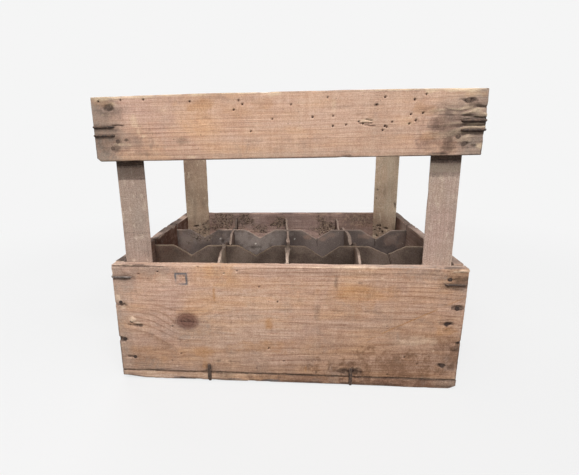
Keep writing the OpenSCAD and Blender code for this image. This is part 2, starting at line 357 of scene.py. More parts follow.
def ring_field(skin, pith, drift, sway, knots, seed):
    """Distance from the log's pith, a line that drifts and sways beside the board. A knot parts the grain as
    a post parts a stream, and adds a swell to the distance, so closed rings lie round it."""
    along, through, up = skin.along, skin.through, skin.up
    inside = np.full(along.shape, -20.0)
    swell = np.zeros(along.shape)
    for knot_s, knot_up, knot_r, stretch in knots:
        far = np.hypot((along - knot_s) / stretch, up - knot_up)
        up = knot_up + (up - knot_up) * (1 - 0.6 * (knot_r / np.maximum(far, knot_r)) ** 2)
        swell = swell + 1.3 * knot_r * np.exp(-(far / (2.2 * knot_r)) ** 2)
        inside = np.maximum(inside, knot_r - far)
    wander = sway * (line_noise(along, 130, seed) - 0.5)
    wander = wander + sway * 0.4 * (line_noise(along, 45, seed + 1) - 0.5)
    ring = np.hypot(through - pith[0] - drift[0] * along, up - pith[1] - drift[1] * along - wander)
    ring = ring + swell
    knot = smooth(0, 1.5, inside)
    return ring * (1 - knot) + knot * 1.3 * np.maximum(inside, 0), smooth(-4, 5, inside)


def grain_marks(skin, pith, seed, drift=(0, 0), sway=6.0, knots=()):
    """Marks that the wood finishes read: the fibre axes, the ring distance and the knots."""
    ring, knot = ring_field(skin, pith, drift, sway, knots, seed)
    skin.marks.update(fibre=(skin.points + FIBRE_STEP * seed) * MM, ring=ring, knot=knot)


def worn_edges(skin, reach, seed, low_share=0.25):
    """Edge wear: pale stretches that come and go along an edge, fewer on the lower edges."""
    width = reach * (0.2 + 1.6 * skin.noise((23, 40, 40), seed) ** 2)
    stretch = smooth(0.42, 0.66, skin.noise((34, 25, 25), seed + 1))
    broken = smooth(0.25, 0.6, skin.noise((6, 4, 4), seed + 2))
    share = low_share + (1 - low_share) * smooth(-3, 3, skin.above_middle())
    return smooth(1.0, 0.4, skin.edge / width) * stretch * broken * share


def lower_edge_shade(skin, reach, seed):
    """Painted shade along the lower edges, where their rounding turns away from the light."""
    width = reach * (0.4 + 1.2 * skin.noise(30, seed))
    return smooth(1.0, 0.2, skin.edge / width) * smooth(3, -3, skin.above_middle())


def near_ends(skin, reach, seed):
    """Weathering at both ends of a board, with a ragged inner edge."""
    far = np.minimum(skin.along - skin.along.min(), skin.along.max() - skin.along)
    return smooth(1.0, 0.1, far / (reach * (0.35 + 1.3 * skin.noise((30, 9, 9), seed))))


def blots(skin, first, second, places, seed, ragged=0.9):
    """Ragged spots. Each is an ellipse (middle, middle, half width, half height, strength) in the two
    coordinates, and noise breaks up its outline."""
    rough = skin.noise(7, seed) + 0.7 * skin.noise(2.5, seed + 1) - 0.85
    total = np.zeros(first.shape)
    for middle_1, middle_2, half_1, half_2, strength in places:
        far = np.hypot((first - middle_1) / half_1, (second - middle_2) / half_2) + ragged * rough
        total = np.maximum(total, strength * smooth(1.15, 0.35, far))
    return total


def board_blots(skin, face, places, seed, ragged=0.9):
    """Ragged spots on one face of a board, given along and up it."""
    return blots(skin, skin.along, skin.up, places, seed, ragged) * skin.face(face)


def splits(skin, face, lines, seed, wander=1.6):
    """Splits in a face: each (start, end, height, slope, width) runs along the grain on a wandering line and
    narrows to its tips. Gives the depth from 0 to 1."""
    total = np.zeros(skin.along.shape)
    sway = wander * (skin.noise((12, 400, 400), seed) - 0.5)
    for start, end, height, slope, width in lines:
        part = np.clip((skin.along - start) / (end - start), 0, 1)
        taper = np.sqrt(4 * part * (1 - part))
        line = height + slope * (skin.along - start) + sway
        inside = 1 - np.abs(skin.up - line) / (width * taper + 1e-3)
        total = np.maximum(total, smooth(0, 0.8, inside))
    return total * skin.face(face)


def nail_tears(skin, face, places, seed):
    """Torn wood at nail heads: a ragged pit drawn out along the grain, and a pale torn patch beside some."""
    pits, patches = [], []
    for number, (place_s, place_up) in enumerate(places):
        long, tall, side = line_noise(np.array([3.1, 40.7, 90.3]) + 5.3 * number, 1.0, seed)
        pits.append((place_s + 5 * (side - 0.5), place_up, 4 + 6 * long, 1.7 + 1.8 * tall, 0.9))
        if side > 0.45:
            beside = place_up + math.copysign(3.4, long - 0.5)
            patches.append((place_s + 3, beside, 3 + 5 * tall, 2.0, 0.9))
    return board_blots(skin, face, pits, seed, 1.2), board_blots(skin, face, patches, seed + 7)


def wire_rust_and_shadow(skin, face, wires, seed):
    """Rust and dirt that a wire leaves on the wood beside it, and painted shadow below it, by the distance
    from the wire's box."""
    total = np.zeros(skin.along.shape)
    for wire in wires:
        low, high = node_box(wire)
        ends = np.sort(np.stack([skin.lie @ low, skin.lie @ high]), axis=0)
        beside = np.maximum(np.maximum(ends[0, 0] - skin.along, skin.along - ends[1, 0]), 0)
        # The box reaches 1.6 mm further down and 0.6 mm less far up, so the dark falls below the wire as
        # painted shadow
        above = np.maximum(np.maximum(ends[0, 2] - 1.6 - skin.up, skin.up + 0.6 - ends[1, 2]), 0)
        total = np.maximum(total, np.exp(-(beside / 3.5) ** 2 - (above / 2.2) ** 2))
    return total * (0.35 + 0.6 * skin.noise((9, 4, 4), seed)) * skin.face(face)


def torn_fibres(skin, face, reach, heights, seed):
    """Torn end of a board: wavy ridges drawn out along the grain from the far end inwards. Gives the torn
    area, its dark gaps, its pale crests and the depth of the gaps."""
    inwards = skin.along.max() - skin.along
    limit = reach * (0.45 + 1.0 * skin.noise((400, 400, 6), seed))
    zone = smooth(limit, 0.3 * limit, inwards) * skin.face(face)
    zone = zone * smooth(heights[0] - 4, heights[0] + 4, skin.up)
    zone = zone * smooth(heights[1] + 4, heights[1] - 4, skin.up)
    bend = skin.points + np.array([0, 0, 1.0]) * (14 * skin.noise((17, 400, 14), seed + 1))[..., None]
    ridge = 0.5 * noise(bend, (26, 400, 3.2), seed + 2) + 0.5 * noise(bend, (9, 400, 1.7), seed + 3)
    return zone, zone * smooth(0.49, 0.32, ridge), zone * smooth(0.53, 0.68, ridge), zone * (1 - ridge)


def plain_edges(edge, seed, corners=4):
    """Radii of the long edges, which swell and shrink along them as wear has left them."""
    def radius(along):
        """Base radius times a slow swell and short chips, for each corner."""
        swell = [line_noise(along, 26, seed + corner) for corner in range(corners)]
        chip = [smooth(0.72, 0.95, line_noise(along, 11, seed + 20 + corner)) for corner in range(corners)]
        return edge * (0.5 + 1.3 * np.stack(swell, axis=-1) ** 2 + 1.2 * np.stack(chip, axis=-1))
    return radius


def board_axes(node, lie):
    """Span along the grain, half thickness, height span and middle of a board, from its CAD box."""
    low, high = node_box(node)
    axes = np.array(LIES[lie], float)
    ends = np.sort(np.stack([axes @ low, axes @ high]), axis=0)
    middle = np.array([0, (ends[0, 1] + ends[1, 1]) / 2, 0]) @ axes
    return ends[:, 0], (ends[1, 1] - ends[0, 1]) / 2, ends[:, 2], middle


def board_skin(node, lie, counts, spacing, edge, seed, end_round=0.9, bottom=None, top=None, cuts=()):
    """Board with its section carried along the grain. bottom and top move its lower and upper edge along it,
    and cuts lists the places where they jump."""
    span, half, height, middle = board_axes(node, lie)
    stations = np.arange(span[0] + end_round, span[1] - end_round, spacing)
    jumps = np.array([cut + side for cut in cuts for side in (-JUMP_SKIRT, -JUMP, JUMP, JUMP_SKIRT)])
    stations = np.unique(np.concatenate([stations, jumps, [span[1] - end_round]]))

    def outline(along):
        """Four corners of the section, with the lower and upper edge moved."""
        low = height[0] + (bottom(along) if bottom else 0 * along)
        high = height[1] - (top(along) if top else 0 * along)
        thick = np.full(len(along), half)
        corners = [(-thick, low), (-thick, high), (thick, high), (thick, low)]
        return np.stack([np.stack(corner, axis=-1) for corner in corners], axis=1)

    radius = plain_edges(edge, seed)
    return carried_skin(stations, outline, radius, counts, end_round, CAP_REACH * half, lie, middle)


def wood_relief(skin, furrow, dent, seed):
    """Depth of furrows along the grain and of shallow dents."""
    dents = smooth(0.66, 0.95, skin.noise((16, 9, 9), seed + 3))
    return furrow * skin.noise((70, 2.6, 2.6), seed) + dent * dents


# Finishes


class Finish:
    """Nodes of one material or world: each call adds a node, joins its inputs and returns its output."""

    def __init__(self, owner):
        self.owner = owner
        owner.use_nodes = True
        self.tree = owner.node_tree
        self.tree.nodes.clear()

    def add(self, kind, inputs, output=0, **settings):
        """Node of a kind: an input is another node's output, or a constant that is set on the socket."""
        node = self.tree.nodes.new(kind)
        for key, value in settings.items():
            setattr(node, key, value)
        for key, value in inputs.items():
            if isinstance(value, bpy.types.NodeSocket):
                self.tree.links.new(value, node.inputs[key])
            else:
                node.inputs[key].default_value = value
        return node.outputs[output] if node.outputs else None

    def mark(self, name, output="Fac"):
        """Field that a skin carries."""
        return self.add("ShaderNodeAttribute", {}, output, attribute_name=name)

    def place(self):
        """Place on the object."""
        return self.add("ShaderNodeTexCoord", {}, "Object")

    def noise(self, vector, scale, detail=2.0, rough=0.5, twist=0.0):
        """Clouds of a scale, with finer detail and a twist."""
        inputs = {"Vector": vector, "Scale": scale, "Detail": detail, "Roughness": rough, "Distortion": twist}
        return self.add("ShaderNodeTexNoise", inputs)

    def drawn_noise(self, vector, scales, detail, rough=0.5, twist=0.0):
        """Clouds drawn out by a scale per axis."""
        drawn = self.add("ShaderNodeMapping", {"Vector": vector, "Scale": scales}, vector_type="POINT")
        return self.noise(drawn, 1.0, detail, rough, twist)

    def math(self, operation, first, second=0.0, clamp=False):
        """One step of arithmetic."""
        return self.add("ShaderNodeMath", {0: first, 1: second}, operation=operation, use_clamp=clamp)

    def times(self, first, second, clamp=False):
        """Product."""
        return self.math("MULTIPLY", first, second, clamp)

    def plus(self, first, second, clamp=False):
        """Sum."""
        return self.math("ADD", first, second, clamp)

    def span(self, value, low, high, to_low=0.0, to_high=1.0):
        """Eased step from to_low at low to to_high at high."""
        inputs = {"Value": value, "From Min": low, "From Max": high, "To Min": to_low, "To Max": to_high}
        return self.add("ShaderNodeMapRange", inputs, interpolation_type="SMOOTHSTEP")

    def broken(self, name, cloud, low, high, least, full=1.0):
        """Mark times the eased step of a cloud, so that it comes out patchy."""
        return self.times(self.mark(name), self.span(cloud, low, high, least, full), True)

    def mix(self, share, first, second, blend="MIX"):
        """Second colour over the first by a share."""
        inputs = {0: share, 6: first, 7: second}
        return self.add("ShaderNodeMix", inputs, 2, data_type="RGBA", blend_type=blend)

    def ramp(self, value, stops):
        """Level that runs straight from stop to stop."""
        node = self.tree.nodes.new("ShaderNodeValToRGB")
        self.tree.links.new(value, node.inputs[0])
        band = node.color_ramp
        while len(band.elements) < len(stops):
            band.elements.new(0.5)
        for element, (place, level) in zip(band.elements, stops):
            element.position = place
            element.color = even(level)
        return node.outputs[0]

    def eaten(self, colour):
        """Wood or sheet eaten to crumbs: dark pits and pale grains, the denser the nearer the mark frass is
        to 1. Gives the colour and the height of the crumbs."""
        share = self.mark("frass")
        place = self.place()
        lack = self.times(self.math("SUBTRACT", 1.0, share), 0.2)
        some = self.span(share, 0.02, 0.2)
        pit = self.plus(self.noise(place, 340.0, 2.0, 0.65), lack)
        pit = self.times(self.span(pit, 0.51, 0.43), some)
        grain = self.math("SUBTRACT", self.noise(place, 400.0, 2.0, 0.65), lack)
        grain = self.times(self.span(grain, 0.51, 0.59), some)
        colour = self.mix(self.times(share, 0.6), colour, MEAL)
        colour = self.mix(self.times(pit, 0.75), colour, PIT)
        colour = self.mix(self.times(grain, 0.75), colour, CRUMB)
        return colour, self.times(self.math("SUBTRACT", grain, pit), 3.0)

    def close(self, colour, roughness, height, bump_depth, specular=0.12):
        """Surface of that colour and roughness, with the height as a bump."""
        bump = self.add("ShaderNodeBump", {"Height": height, "Distance": bump_depth * MM, "Strength": 1.0})
        shader = self.add("ShaderNodeBsdfPrincipled", {
            "Base Color": colour, "Roughness": roughness, "Normal": bump, "Specular IOR Level": specular,
        })
        self.add("ShaderNodeOutputMaterial", {"Surface": shader})
        return self.owner

    def seen_share(self):
        """1 for rays from the camera and for mirrored or passed rays, 0 for the rest."""
        total = self.add("ShaderNodeLightPath", {}, "Is Camera Ray")
        for name in ("Is Glossy Ray", "Is Transmission Ray"):
            total = self.math("MAXIMUM", total, self.add("ShaderNodeLightPath", {}, name))
        return total


DARK = srgb(52, 41, 37)
INK = srgb(82, 94, 102)
OCHRE = srgb(178, 126, 74)
HEART = srgb(112, 76, 66)
HEART_LINE = srgb(90, 60, 53)
PIT = srgb(44, 34, 29)
MEAL = srgb(128, 109, 95)
CRUMB = srgb(188, 160, 136)
FLECK = srgb(232, 224, 212)
SHEET_DIRT = srgb(46, 38, 34)
SHEET_SPECK = srgb(178, 164, 150)
# One year's ring: place in the ring, share of late wood
RING_STOPS = [(0.0, 0.06), (0.6, 0.0), (0.88, 1.0), (0.94, 0.85), (1.0, 0.06)]


def wood_finish(name, tones, ring_gap, ring_show, film, fibres, sand=0.45, inner=None):
    """Weathered softwood. Rings are a saw-tooth of the ring distance, fibres are noise drawn out along the
    grain, and wear, weathering and stains follow their marks, broken up by noise. inner gives the tones of
    the face that looks into the box."""
    f = Finish(bpy.data.materials.new(name))
    tones = [srgb(*tone) for tone in tones]
    if inner:
        inside = f.mark("inside")
        tones = [f.mix(inside, tone, srgb(*other)) for tone, other in zip(tones, inner)]
    light, warm, rosy, late, deep, grey, pale = tones
    fibre = f.mark("fibre", "Vector")
    place = f.place()
    blotch = f.drawn_noise(fibre, (6, 38, 38), 3.0, 0.6)
    patch = f.noise(place, 11.0, 4.0, 0.6, 0.6)
    grime = f.noise(place, 34.0, 6.0, 0.72, 0.5)
    dirt = f.noise(place, 120.0, 5.0, 0.75, 0.3)

    wobble = f.drawn_noise(fibre, (9, 70, 70), 3.0)
    phase = f.plus(f.math("DIVIDE", f.mark("ring"), ring_gap), f.times(wobble, 2.2 / ring_gap))
    rings = f.ramp(f.math("FRACT", phase), RING_STOPS)
    shown = f.times(rings, f.span(patch, 0.35, 0.65, 0.3 * ring_show, ring_show))
    shown = f.times(shown, f.math("SUBTRACT", 1.0, f.mark("faint")))
    colour = f.mix(f.span(blotch, 0.34, 0.7), light, warm)
    colour = f.mix(f.span(patch, 0.36, 0.74), colour, rosy)
    colour = f.mix(shown, colour, late)
    # deep also carries painted shade, where dim darkens the back-left post's upper part
    colour = f.mix(f.broken("deep", grime, 0.3, 0.65, 0.5), colour, deep)

    streak = f.drawn_noise(fibre, (28, 900, 900), 3.0, 0.65)
    colour = f.mix(fibres, colour, f.span(streak, 0.2, 0.8), "SOFT_LIGHT")
    across = f.drawn_noise(fibre, (260, 26, 26), 4.0, 0.65, 0.3)
    colour = f.mix(0.16, colour, f.span(across, 0.2, 0.8), "SOFT_LIGHT")
    dash = f.span(f.drawn_noise(fibre, (60, 430, 430), 2.0), 0.62, 0.72)
    colour = f.mix(f.times(dash, 0.4), colour, late)

    # grey also carries painted shade on the front rail's top edge
    soot = f.plus(f.mark("grey"), f.span(grime, 0.48, 0.74, 0.0, film))
    colour = f.mix(f.times(soot, f.span(dirt, 0.3, 0.65, 0.5, 1.0), True), colour, grey)
    colour = f.mix(f.span(dirt, 0.6, 0.75, 0.0, 0.8 * film), colour, deep)
    speck = f.span(f.noise(place, 430.0, 1.0), 0.7, 0.78, 0.0, 0.5)
    colour = f.mix(speck, colour, DARK)

    heart = f.mix(rings, HEART, HEART_LINE)
    colour = f.mix(f.times(f.mark("knot"), 0.85), colour, heart)
    rub = f.span(f.drawn_noise(fibre, (70, 230, 230), 4.0, 0.6), 0.62, 0.76, 0.0, 0.32)
    colour = f.mix(rub, colour, pale)
    colour = f.mix(f.broken("ochre", dirt, 0.25, 0.65, 0.6), colour, OCHRE)
    # wear also carries painted light: the paler band in the rail's shadow on the front-right post
    colour = f.mix(f.times(f.broken("wear", dirt, 0.25, 0.6, 0.55), 0.85), colour, pale)
    colour, crumbs = f.eaten(colour)
    colour = f.mix(f.broken("ink", dirt, 0.3, 0.6, 0.5, 0.9), colour, INK)
    # stain carries real stains and also painted shade: below the wires, along the lower edges and under the
    # rail on the front posts
    colour = f.mix(f.broken("stain", dirt, 0.25, 0.65, 0.6, 1.1), colour, DARK)
    grit = f.noise(place, 800.0, 3.0, 0.7)
    colour = f.mix(sand, colour, f.span(grit, 0.25, 0.75), "SOFT_LIGHT")

    height = f.plus(streak, f.times(shown, 0.4))
    height = f.plus(f.plus(height, f.times(grit, 0.35)), crumbs)
    return f.close(colour, f.span(grime, 0.2, 0.8, 0.74, 0.92), height, 0.35)


def sheet_finish(name, low, high, dusty, edge, under=(160, 126, 109)):
    """Dusty pressed board: clouded faces under dust, a browner layer where the face has come off, and frayed
    edges."""
    f = Finish(bpy.data.materials.new(name))
    place = f.place()
    mottle = f.noise(place, 38.0, 6.0, 0.7, 0.5)
    cloud = f.noise(place, 14.0, 3.0, 0.55, 0.4)
    colour = f.mix(f.span(cloud, 0.36, 0.64), srgb(*low), srgb(*high))
    # bare also carries painted light on the front divider's left cell
    colour = f.mix(f.broken("bare", mottle, 0.3, 0.6, 0.5), colour, srgb(*under))
    colour = f.mix(f.broken("wear", mottle, 0.3, 0.62, 0.5), colour, srgb(*edge))
    dust = f.plus(f.mark("dust"), f.span(mottle, 0.5, 0.75, 0.0, 0.25), True)
    colour = f.mix(dust, colour, srgb(*dusty))
    colour, crumbs = f.eaten(colour)
    colour = f.mix(f.mark("stain"), colour, SHEET_DIRT)
    colour = f.mix(f.mark("fleck"), colour, FLECK)
    speck = f.span(f.noise(place, 300.0, 1.0), 0.74, 0.8, 0.0, 0.5)
    colour = f.mix(speck, colour, SHEET_SPECK)
    grit = f.noise(place, 900.0, 2.0, 0.6)
    colour = f.mix(0.4, colour, f.span(grit, 0.2, 0.8), "SOFT_LIGHT")
    height = f.plus(f.plus(mottle, f.times(grit, 0.4)), crumbs)
    return f.close(colour, f.span(mottle, 0.2, 0.8, 0.7, 0.95), height, 0.3)


def iron_finish(name, dark, rust):
    """Rusty iron: dark scale with patches of brown rust and a pitted surface."""
    f = Finish(bpy.data.materials.new(name))
    place = f.place()
    scale = f.noise(place, 420.0, 6.0, 0.7, 0.6)
    colour = f.mix(f.span(scale, 0.42, 0.62), srgb(*dark), srgb(*rust))
    pits = f.noise(place, 1500.0, 3.0, 0.7)
    colour = f.mix(0.8, colour, f.span(pits, 0.2, 0.8), "SOFT_LIGHT")
    height = f.plus(scale, f.times(pits, 0.5))
    return f.close(colour, f.span(scale, 0.3, 0.7, 0.6, 0.9), height, 0.3, 0.25)


# Tones of a wood: early wood, warm early wood, rosy patches, late wood, darkened, greyed, rubbed pale
RAIL_TONES = (
    (203, 169, 147), (208, 165, 131), (198, 163, 145), (170, 129, 107), (142, 113, 99), (148, 131, 118),
    (224, 200, 168),
)
BOARD_TONES = (
    (201, 168, 147), (206, 160, 121), (196, 161, 142), (149, 113, 89), (119, 86, 63), (158, 141, 130),
    (222, 194, 168),
)
INNER_TONES = (
    (160, 136, 126), (166, 132, 114), (152, 125, 116), (124, 100, 91), (106, 85, 77), (142, 127, 117),
    (190, 164, 142),
)
END_INNER_TONES = (
    (170, 148, 135), (174, 143, 124), (164, 139, 128), (134, 108, 97), (84, 53, 41), (150, 134, 125),
    (184, 161, 143),
)
PLANK_TONES = (
    (196, 165, 143), (200, 157, 122), (182, 149, 129), (146, 112, 92), (104, 72, 56), (166, 148, 134),
    (218, 190, 162),
)
POST_TONES = (
    (176, 155, 141), (180, 155, 137), (180, 152, 139), (148, 127, 115), (134, 115, 103), (152, 138, 126),
    (208, 188, 168),
)
# Back posts: the post wood in paler tones, painted light that makes up for the shade they stand in deeper in
# the box
BACK_POST_PAINTED_LIGHT_TONES = (
    (204, 184, 160), (202, 174, 148), (196, 172, 150), (166, 140, 120), (138, 110, 91), (184, 170, 150),
    (222, 204, 178),
)
rail_pine = wood_finish("rail_pine", RAIL_TONES, 4.2, 0.85, 0.35, 0.2, 0.3)
board_pine = wood_finish("board_pine", BOARD_TONES, 4.6, 0.65, 0.5, 0.35, 0.4, INNER_TONES)
end_pine = wood_finish("end_pine", BOARD_TONES, 4.6, 0.65, 0.5, 0.35, 0.4, END_INNER_TONES)
plank_pine = wood_finish("plank_pine", PLANK_TONES, 4.0, 0.6, 0.5, 0.4)
post_pine = wood_finish("post_pine", POST_TONES, 3.0, 0.4, 0.5, 0.2, 0.55)
back_post_pine_painted_light = wood_finish("back_post_pine_painted_light", BACK_POST_PAINTED_LIGHT_TONES, 3.0, 0.4, 0.5, 0.2, 0.55)
grey_sheet = sheet_finish("grey_sheet", (106, 92, 83), (154, 136, 124), (168, 150, 136), (196, 172, 148))
pale_sheet = sheet_finish(
    "pale_sheet", (81, 71, 67), (114, 101, 95), (156, 144, 136), (158, 138, 124), (136, 111, 98)
)
brown_sheet = sheet_finish("brown_sheet", (134, 108, 98), (164, 138, 126), (208, 192, 174), (170, 149, 135))
rusty_wire = iron_finish("rusty_wire", (62, 52, 47), (106, 85, 72))
grey_wire = iron_finish("grey_wire", (84, 74, 69), (140, 126, 118))
dull_nail = iron_finish("dull_nail", (84, 69, 60), (112, 92, 79))
rusty_nail = iron_finish("rusty_nail", (54, 44, 40), (82, 65, 56))


# Boards, rails and planks. Spots are listed as (along, up, half length, half height, strength)

# Knot: along, up, radius, stretch along the grain. Stamp: along, up, half side, width of its line
FRONT_KNOT = (-114.5, 76.5, 11.5, 1.25)
STAMP = (-118.5, 129.6, 6.4, 1.75)
# Nails hidden under filler, and nails whose torn hole lies beside the head (head: hole) or is missing (None)
FILLED_NAILS = [(-183, 137), (183, 75), (194, 51)]
NAIL_MOVES = {
    (-183, 137): None, (-194, 99): (-195, 96), (-183, 75): (-179.3, 69.5), (183, 75): (185.3, 80),
    (194, 51): (197, 57),
}
BOARD_HOLES = [
    (-115, 133), (-68, 137), (-53, 140), (-98, 145), (-146, 138), (-169, 135), (-28, 121), (-125, 33),
    (-137, 23), (-7, 103), (-133, 69), (-18, 43), (0, 27), (-33, 16), (140, 36), (122, 13), (155, 28),
]
# The dark spot at (190, 122) is painted shadow under the right box wire
BOARD_DARK = [
    (-178, 144.8, 30, 1.5, 0.65), (195, 133, 10, 4.5, 0.65), (182, 138, 30, 7, 0.25),
    (189, 129, 15, 3, 0.6), (190, 122, 9, 1.3, 0.65), (188, 145.6, 20, 1.0, 0.55), (80, 17, 14, 5, 1),
    (69, 15, 8, 5, 0.85), (59.5, 130, 2.6, 11, 0.45), (38, 90, 5, 16, 0.25), (85, 127.6, 5, 1.2, 0.6),
    (38.5, 14, 0.9, 3, 0.7), (195, 24, 7, 6, 0.5), (197, 52, 5, 8, 0.5), (-79, 24.7, 6, 1.8, 0.5),
    (-61, 24.6, 8, 2, 0.5), (-62, 35.5, 5, 1, 0.4), (-91, 12, 3.5, 8, 0.45), (185, 80, 6, 2.6, 1.3),
    (197.5, 57, 4.5, 3, 1.3), (182.7, 29, 4.5, 2, 1.2),
]
BOARD_DEEP = [
    (135, 18, 120, 34, 1.0), (190, 45, 30, 48, 0.85), (-10, 16, 150, 13, 0.6), (-175, 20, 34, 18, 0.6),
    (193, 132, 22, 16, 0.55), (-160, 136, 50, 10, 0.35), (-140, 50, 24, 9, 0.3), (58, 138, 84, 9, 0.36),
    (196, 36, 14, 34, 1.1),
]
BOARD_OCHRE = [
    (-80.5, 114, 1.6, 13, 0.65), (-99, 36, 16, 8, 0.35), (-96, 20, 3.5, 8, 0.4), (182, 70, 15, 6, 0.4),
    (-16, 75, 6, 9, 0.65), (140, 108, 45, 14, 0.15), (-40, 125, 50, 10, 0.25), (26, 17, 1.5, 4, 0.4),
    (86, 113, 46, 18, 0.32), (-24, 45, 40, 8, 0.38), (-53, 122, 20, 9, 0.32),
]
BOARD_PALE = [
    (-197, 105, 3.2, 4, 0.9), (-181.6, 77.6, 6, 4.8, 1), (-140, 130, 13, 7, 0.35), (151, 58, 27, 7, 0.5),
    (76, 145.2, 22, 1.6, 0.9), (99, 145, 8, 1.4, 0.8), (62, 6, 12, 3, 0.35), (186, 142.2, 5, 2, 1),
    (197, 142.8, 9, 1.5, 1),
]
BOARD_GREY = [
    (-168, 141, 45, 9, 0.45), (152, 139, 28, 10, 0.4), (-196, 104, 16, 30, 0.35), (-122, 62, 36, 16, 0.3),
    (-122, 54.5, 13, 4, 0.7), (-165, 12, 60, 14, 0.3),
]
# Splits and scratches are listed as (start, end, height at the start, slope, width)
BOARD_SPLITS = [(-123, -106, 75.5, 0, 1.0), (-120, -110, 80, -0.3, 0.8), (-220, -138, 144.6, 0, 1.2)]
BOARD_SCRATCH = (90, 216, 53.7, 0.535, 1.2)
BOARD_RUB = (-52, -3, 108, 0.3, 1.0)
BOARD_SPECKS = [
    (-67.8, 136.4), (84.9, 141.4), (110.1, 133.6), (121.1, 131.8), (-93, 13), (-131, 16), (45, 122),
    (172, 46),
]
RAIL_HOLES = [
    (-170, 328), (-145, 328), (-96, 325), (-33, 294), (9, 320), (-10, 306), (-50, 316), (-45, 325),
    (-41, 321), (46, 326), (103, 325), (143, 327), (132, 322), (95, 318), (31, 307), (52, 308), (52, 298),
    (65, 299), (78, 302), (82, 300), (111, 301), (102, 293), (104, 297), (106, 296), (129, 308), (141, 309),
    (128, 299), (134, 302), (-194, 327),
]
RAIL_DARK = [
    (-182, 320.5, 6, 4.5, 0.75), (-184, 315, 15, 9, 0.3), (-168, 287, 5, 1.8, 0.85), (-180, 279, 7, 5, 0.5),
    (-104, 285, 9, 5, 0.3), (185, 320.4, 8, 2.8, 0.95), (190, 316, 9, 2, 0.6), (168, 281, 8, 9, 0.6),
    (184, 279.3, 4.2, 3, 0.9), (194, 277, 4, 1.5, 0.8), (66, 268, 8, 1.4, 0.6), (162, 269, 14, 1.6, 0.75),
    (95, 318, 3, 1.6, 0.6), (134.6, 302.3, 0.8, 4, 0.7), (172, 300, 30, 15, 0.3), (-190, 284, 15, 14, 0.35),
    (168, 275, 10, 6, 0.6), (190, 296, 18, 14, 0.3), (160, 303, 14, 4, 0.3), (158, 296, 17, 2.5, 0.45),
    (166, 312, 13, 2.5, 0.3), (178, 281, 15, 8, 0.4), (190, 283, 10, 4, 0.35), (163, 300, 20, 9, 0.28),
    (198, 289, 7, 8, 0.35), (198, 281, 8, 6, 0.3), (161, 288, 13, 6, 0.4), (152, 281, 15, 6, 0.25),
    (176, 309, 8, 5, 0.3), (169, 289, 9, 8, 0.55),
]
RAIL_PALE = [
    (-157.6, 307.5, 3.6, 6, 0.55), (-155, 302, 2.2, 2, 0.5), (-165, 282, 3, 1.2, 0.6),
    (-98, 268.3, 7, 1.6, 0.6), (190, 312, 8, 1.3, 0.7), (190, 292.6, 11, 2, 0.6), (189, 297.5, 6, 1.3, 0.7),
    (199, 276.5, 4, 3, 0.7), (-86, 331.8, 11, 1.6, 0.8), (-8, 330.5, 8, 2, 0.6), (52, 318, 2, 8, 0.3),
    (86, 303, 9, 2, 0.6), (128, 299, 3, 1, 0.7), (-186, 330.6, 26, 3.2, 0.62), (-150, 330.8, 24, 2.2, 0.7),
    (-153, 296, 1.6, 3, 0.4), (-148, 291, 2, 1.5, 0.6), (-136, 285, 2, 1, 0.5), (-150, 302, 2, 1.5, 0.5),
    (125, 332.4, 44, 1.6, 0.75), (172, 330.6, 34, 3.4, 0.85), (190, 327, 14, 5, 0.3),
    (-118, 332, 16, 1.5, 0.7),
]
RAIL_DEEP = [
    (-172, 281, 40, 16, 0.55), (-185, 305, 22, 20, 0.4), (165, 292, 26, 16, 0.5), (60, 281, 110, 8, 0.25),
    (170, 300, 27, 15, 1.1), (-90, 327, 36, 5, 0.4), (157, 281, 28, 11, 0.8),
]
RAIL_OCHRE = [
    (-84, 321, 25, 8, 0.4), (-20, 321, 14, 6, 0.25), (148, 286, 12, 5, 0.3), (-43, 314, 24, 8, 0.2),
    (142, 312, 16, 7, 0.3), (188, 327, 14, 4, 0.3), (-190, 326, 12, 6, 0.3),
]
RAIL_SPLITS = [
    (-182, -168, 302.5, -0.12, 1.3), (178, 203, 306, -0.1, 1.6), (180, 203, 296.3, 0, 1.3),
    (191, 203, 314.4, -0.04, 1.4), (78, 91, 300.6, 0, 0.9), (84, 93, 304.5, -0.2, 0.8),
    (83, 96, 299, -0.12, 0.8),
]
BACK_FRASS = [
    (-130, 132, 36, 26, 1), (-86, 134, 20, 18, 0.9), (-58, 117, 17, 13, 0.85), (-20, 130, 19, 18, 1),
    (68, 119, 27, 23, 1), (130, 136, 34, 17, 0.6), (57, 138, 13, 16, 0.65),
]
BACK_GRAINS = [
    (120, 136, 28, 12, 0.9), (60, 134, 16, 12, 0.8), (-66, 140, 14, 5, 0.7), (-20, 134, 14, 9, 0.6),
]
PLANK_DEEP = [(140, -156, 110, 60, 1), (20, -156, 80, 40, 0.7)]
PLANK_BLUE = [(-128, 4.2, 14, 1.4, 0.8), (-60, 4.2, 12, 1.2, 0.6), (-18, 4.2, 14, 1.4, 0.8)]
PLANK_OUTER_UP = 156

BOTTOM_WIRES = ["bottom_wire_left", "bottom_wire_right"]
FRAME_WIRES = [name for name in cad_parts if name.startswith("frame_wire")]


def nail_places(node, lie):
    """Places of a nail group's heads, along and up the board that they go through."""
    middles = part_middles(node) @ np.array(LIES[lie], float).T
    return [(spot[0], spot[2]) for spot in middles]


def worm_holes(skin, face, places, hole_r, seed):
    """Round pits in one face, each a little wider or narrower than the next."""
    pits = np.zeros(skin.along.shape)
    sizes = hole_r * (0.7 + 0.6 * line_noise(np.arange(len(places)) * 3.7, 1.0, seed))
    for (place_s, place_up), size in zip(places, sizes):
        pits = np.maximum(pits, smooth(1.2, 0.6, np.hypot(skin.along - place_s, skin.up - place_up) / size))
    return pits * skin.face(face)


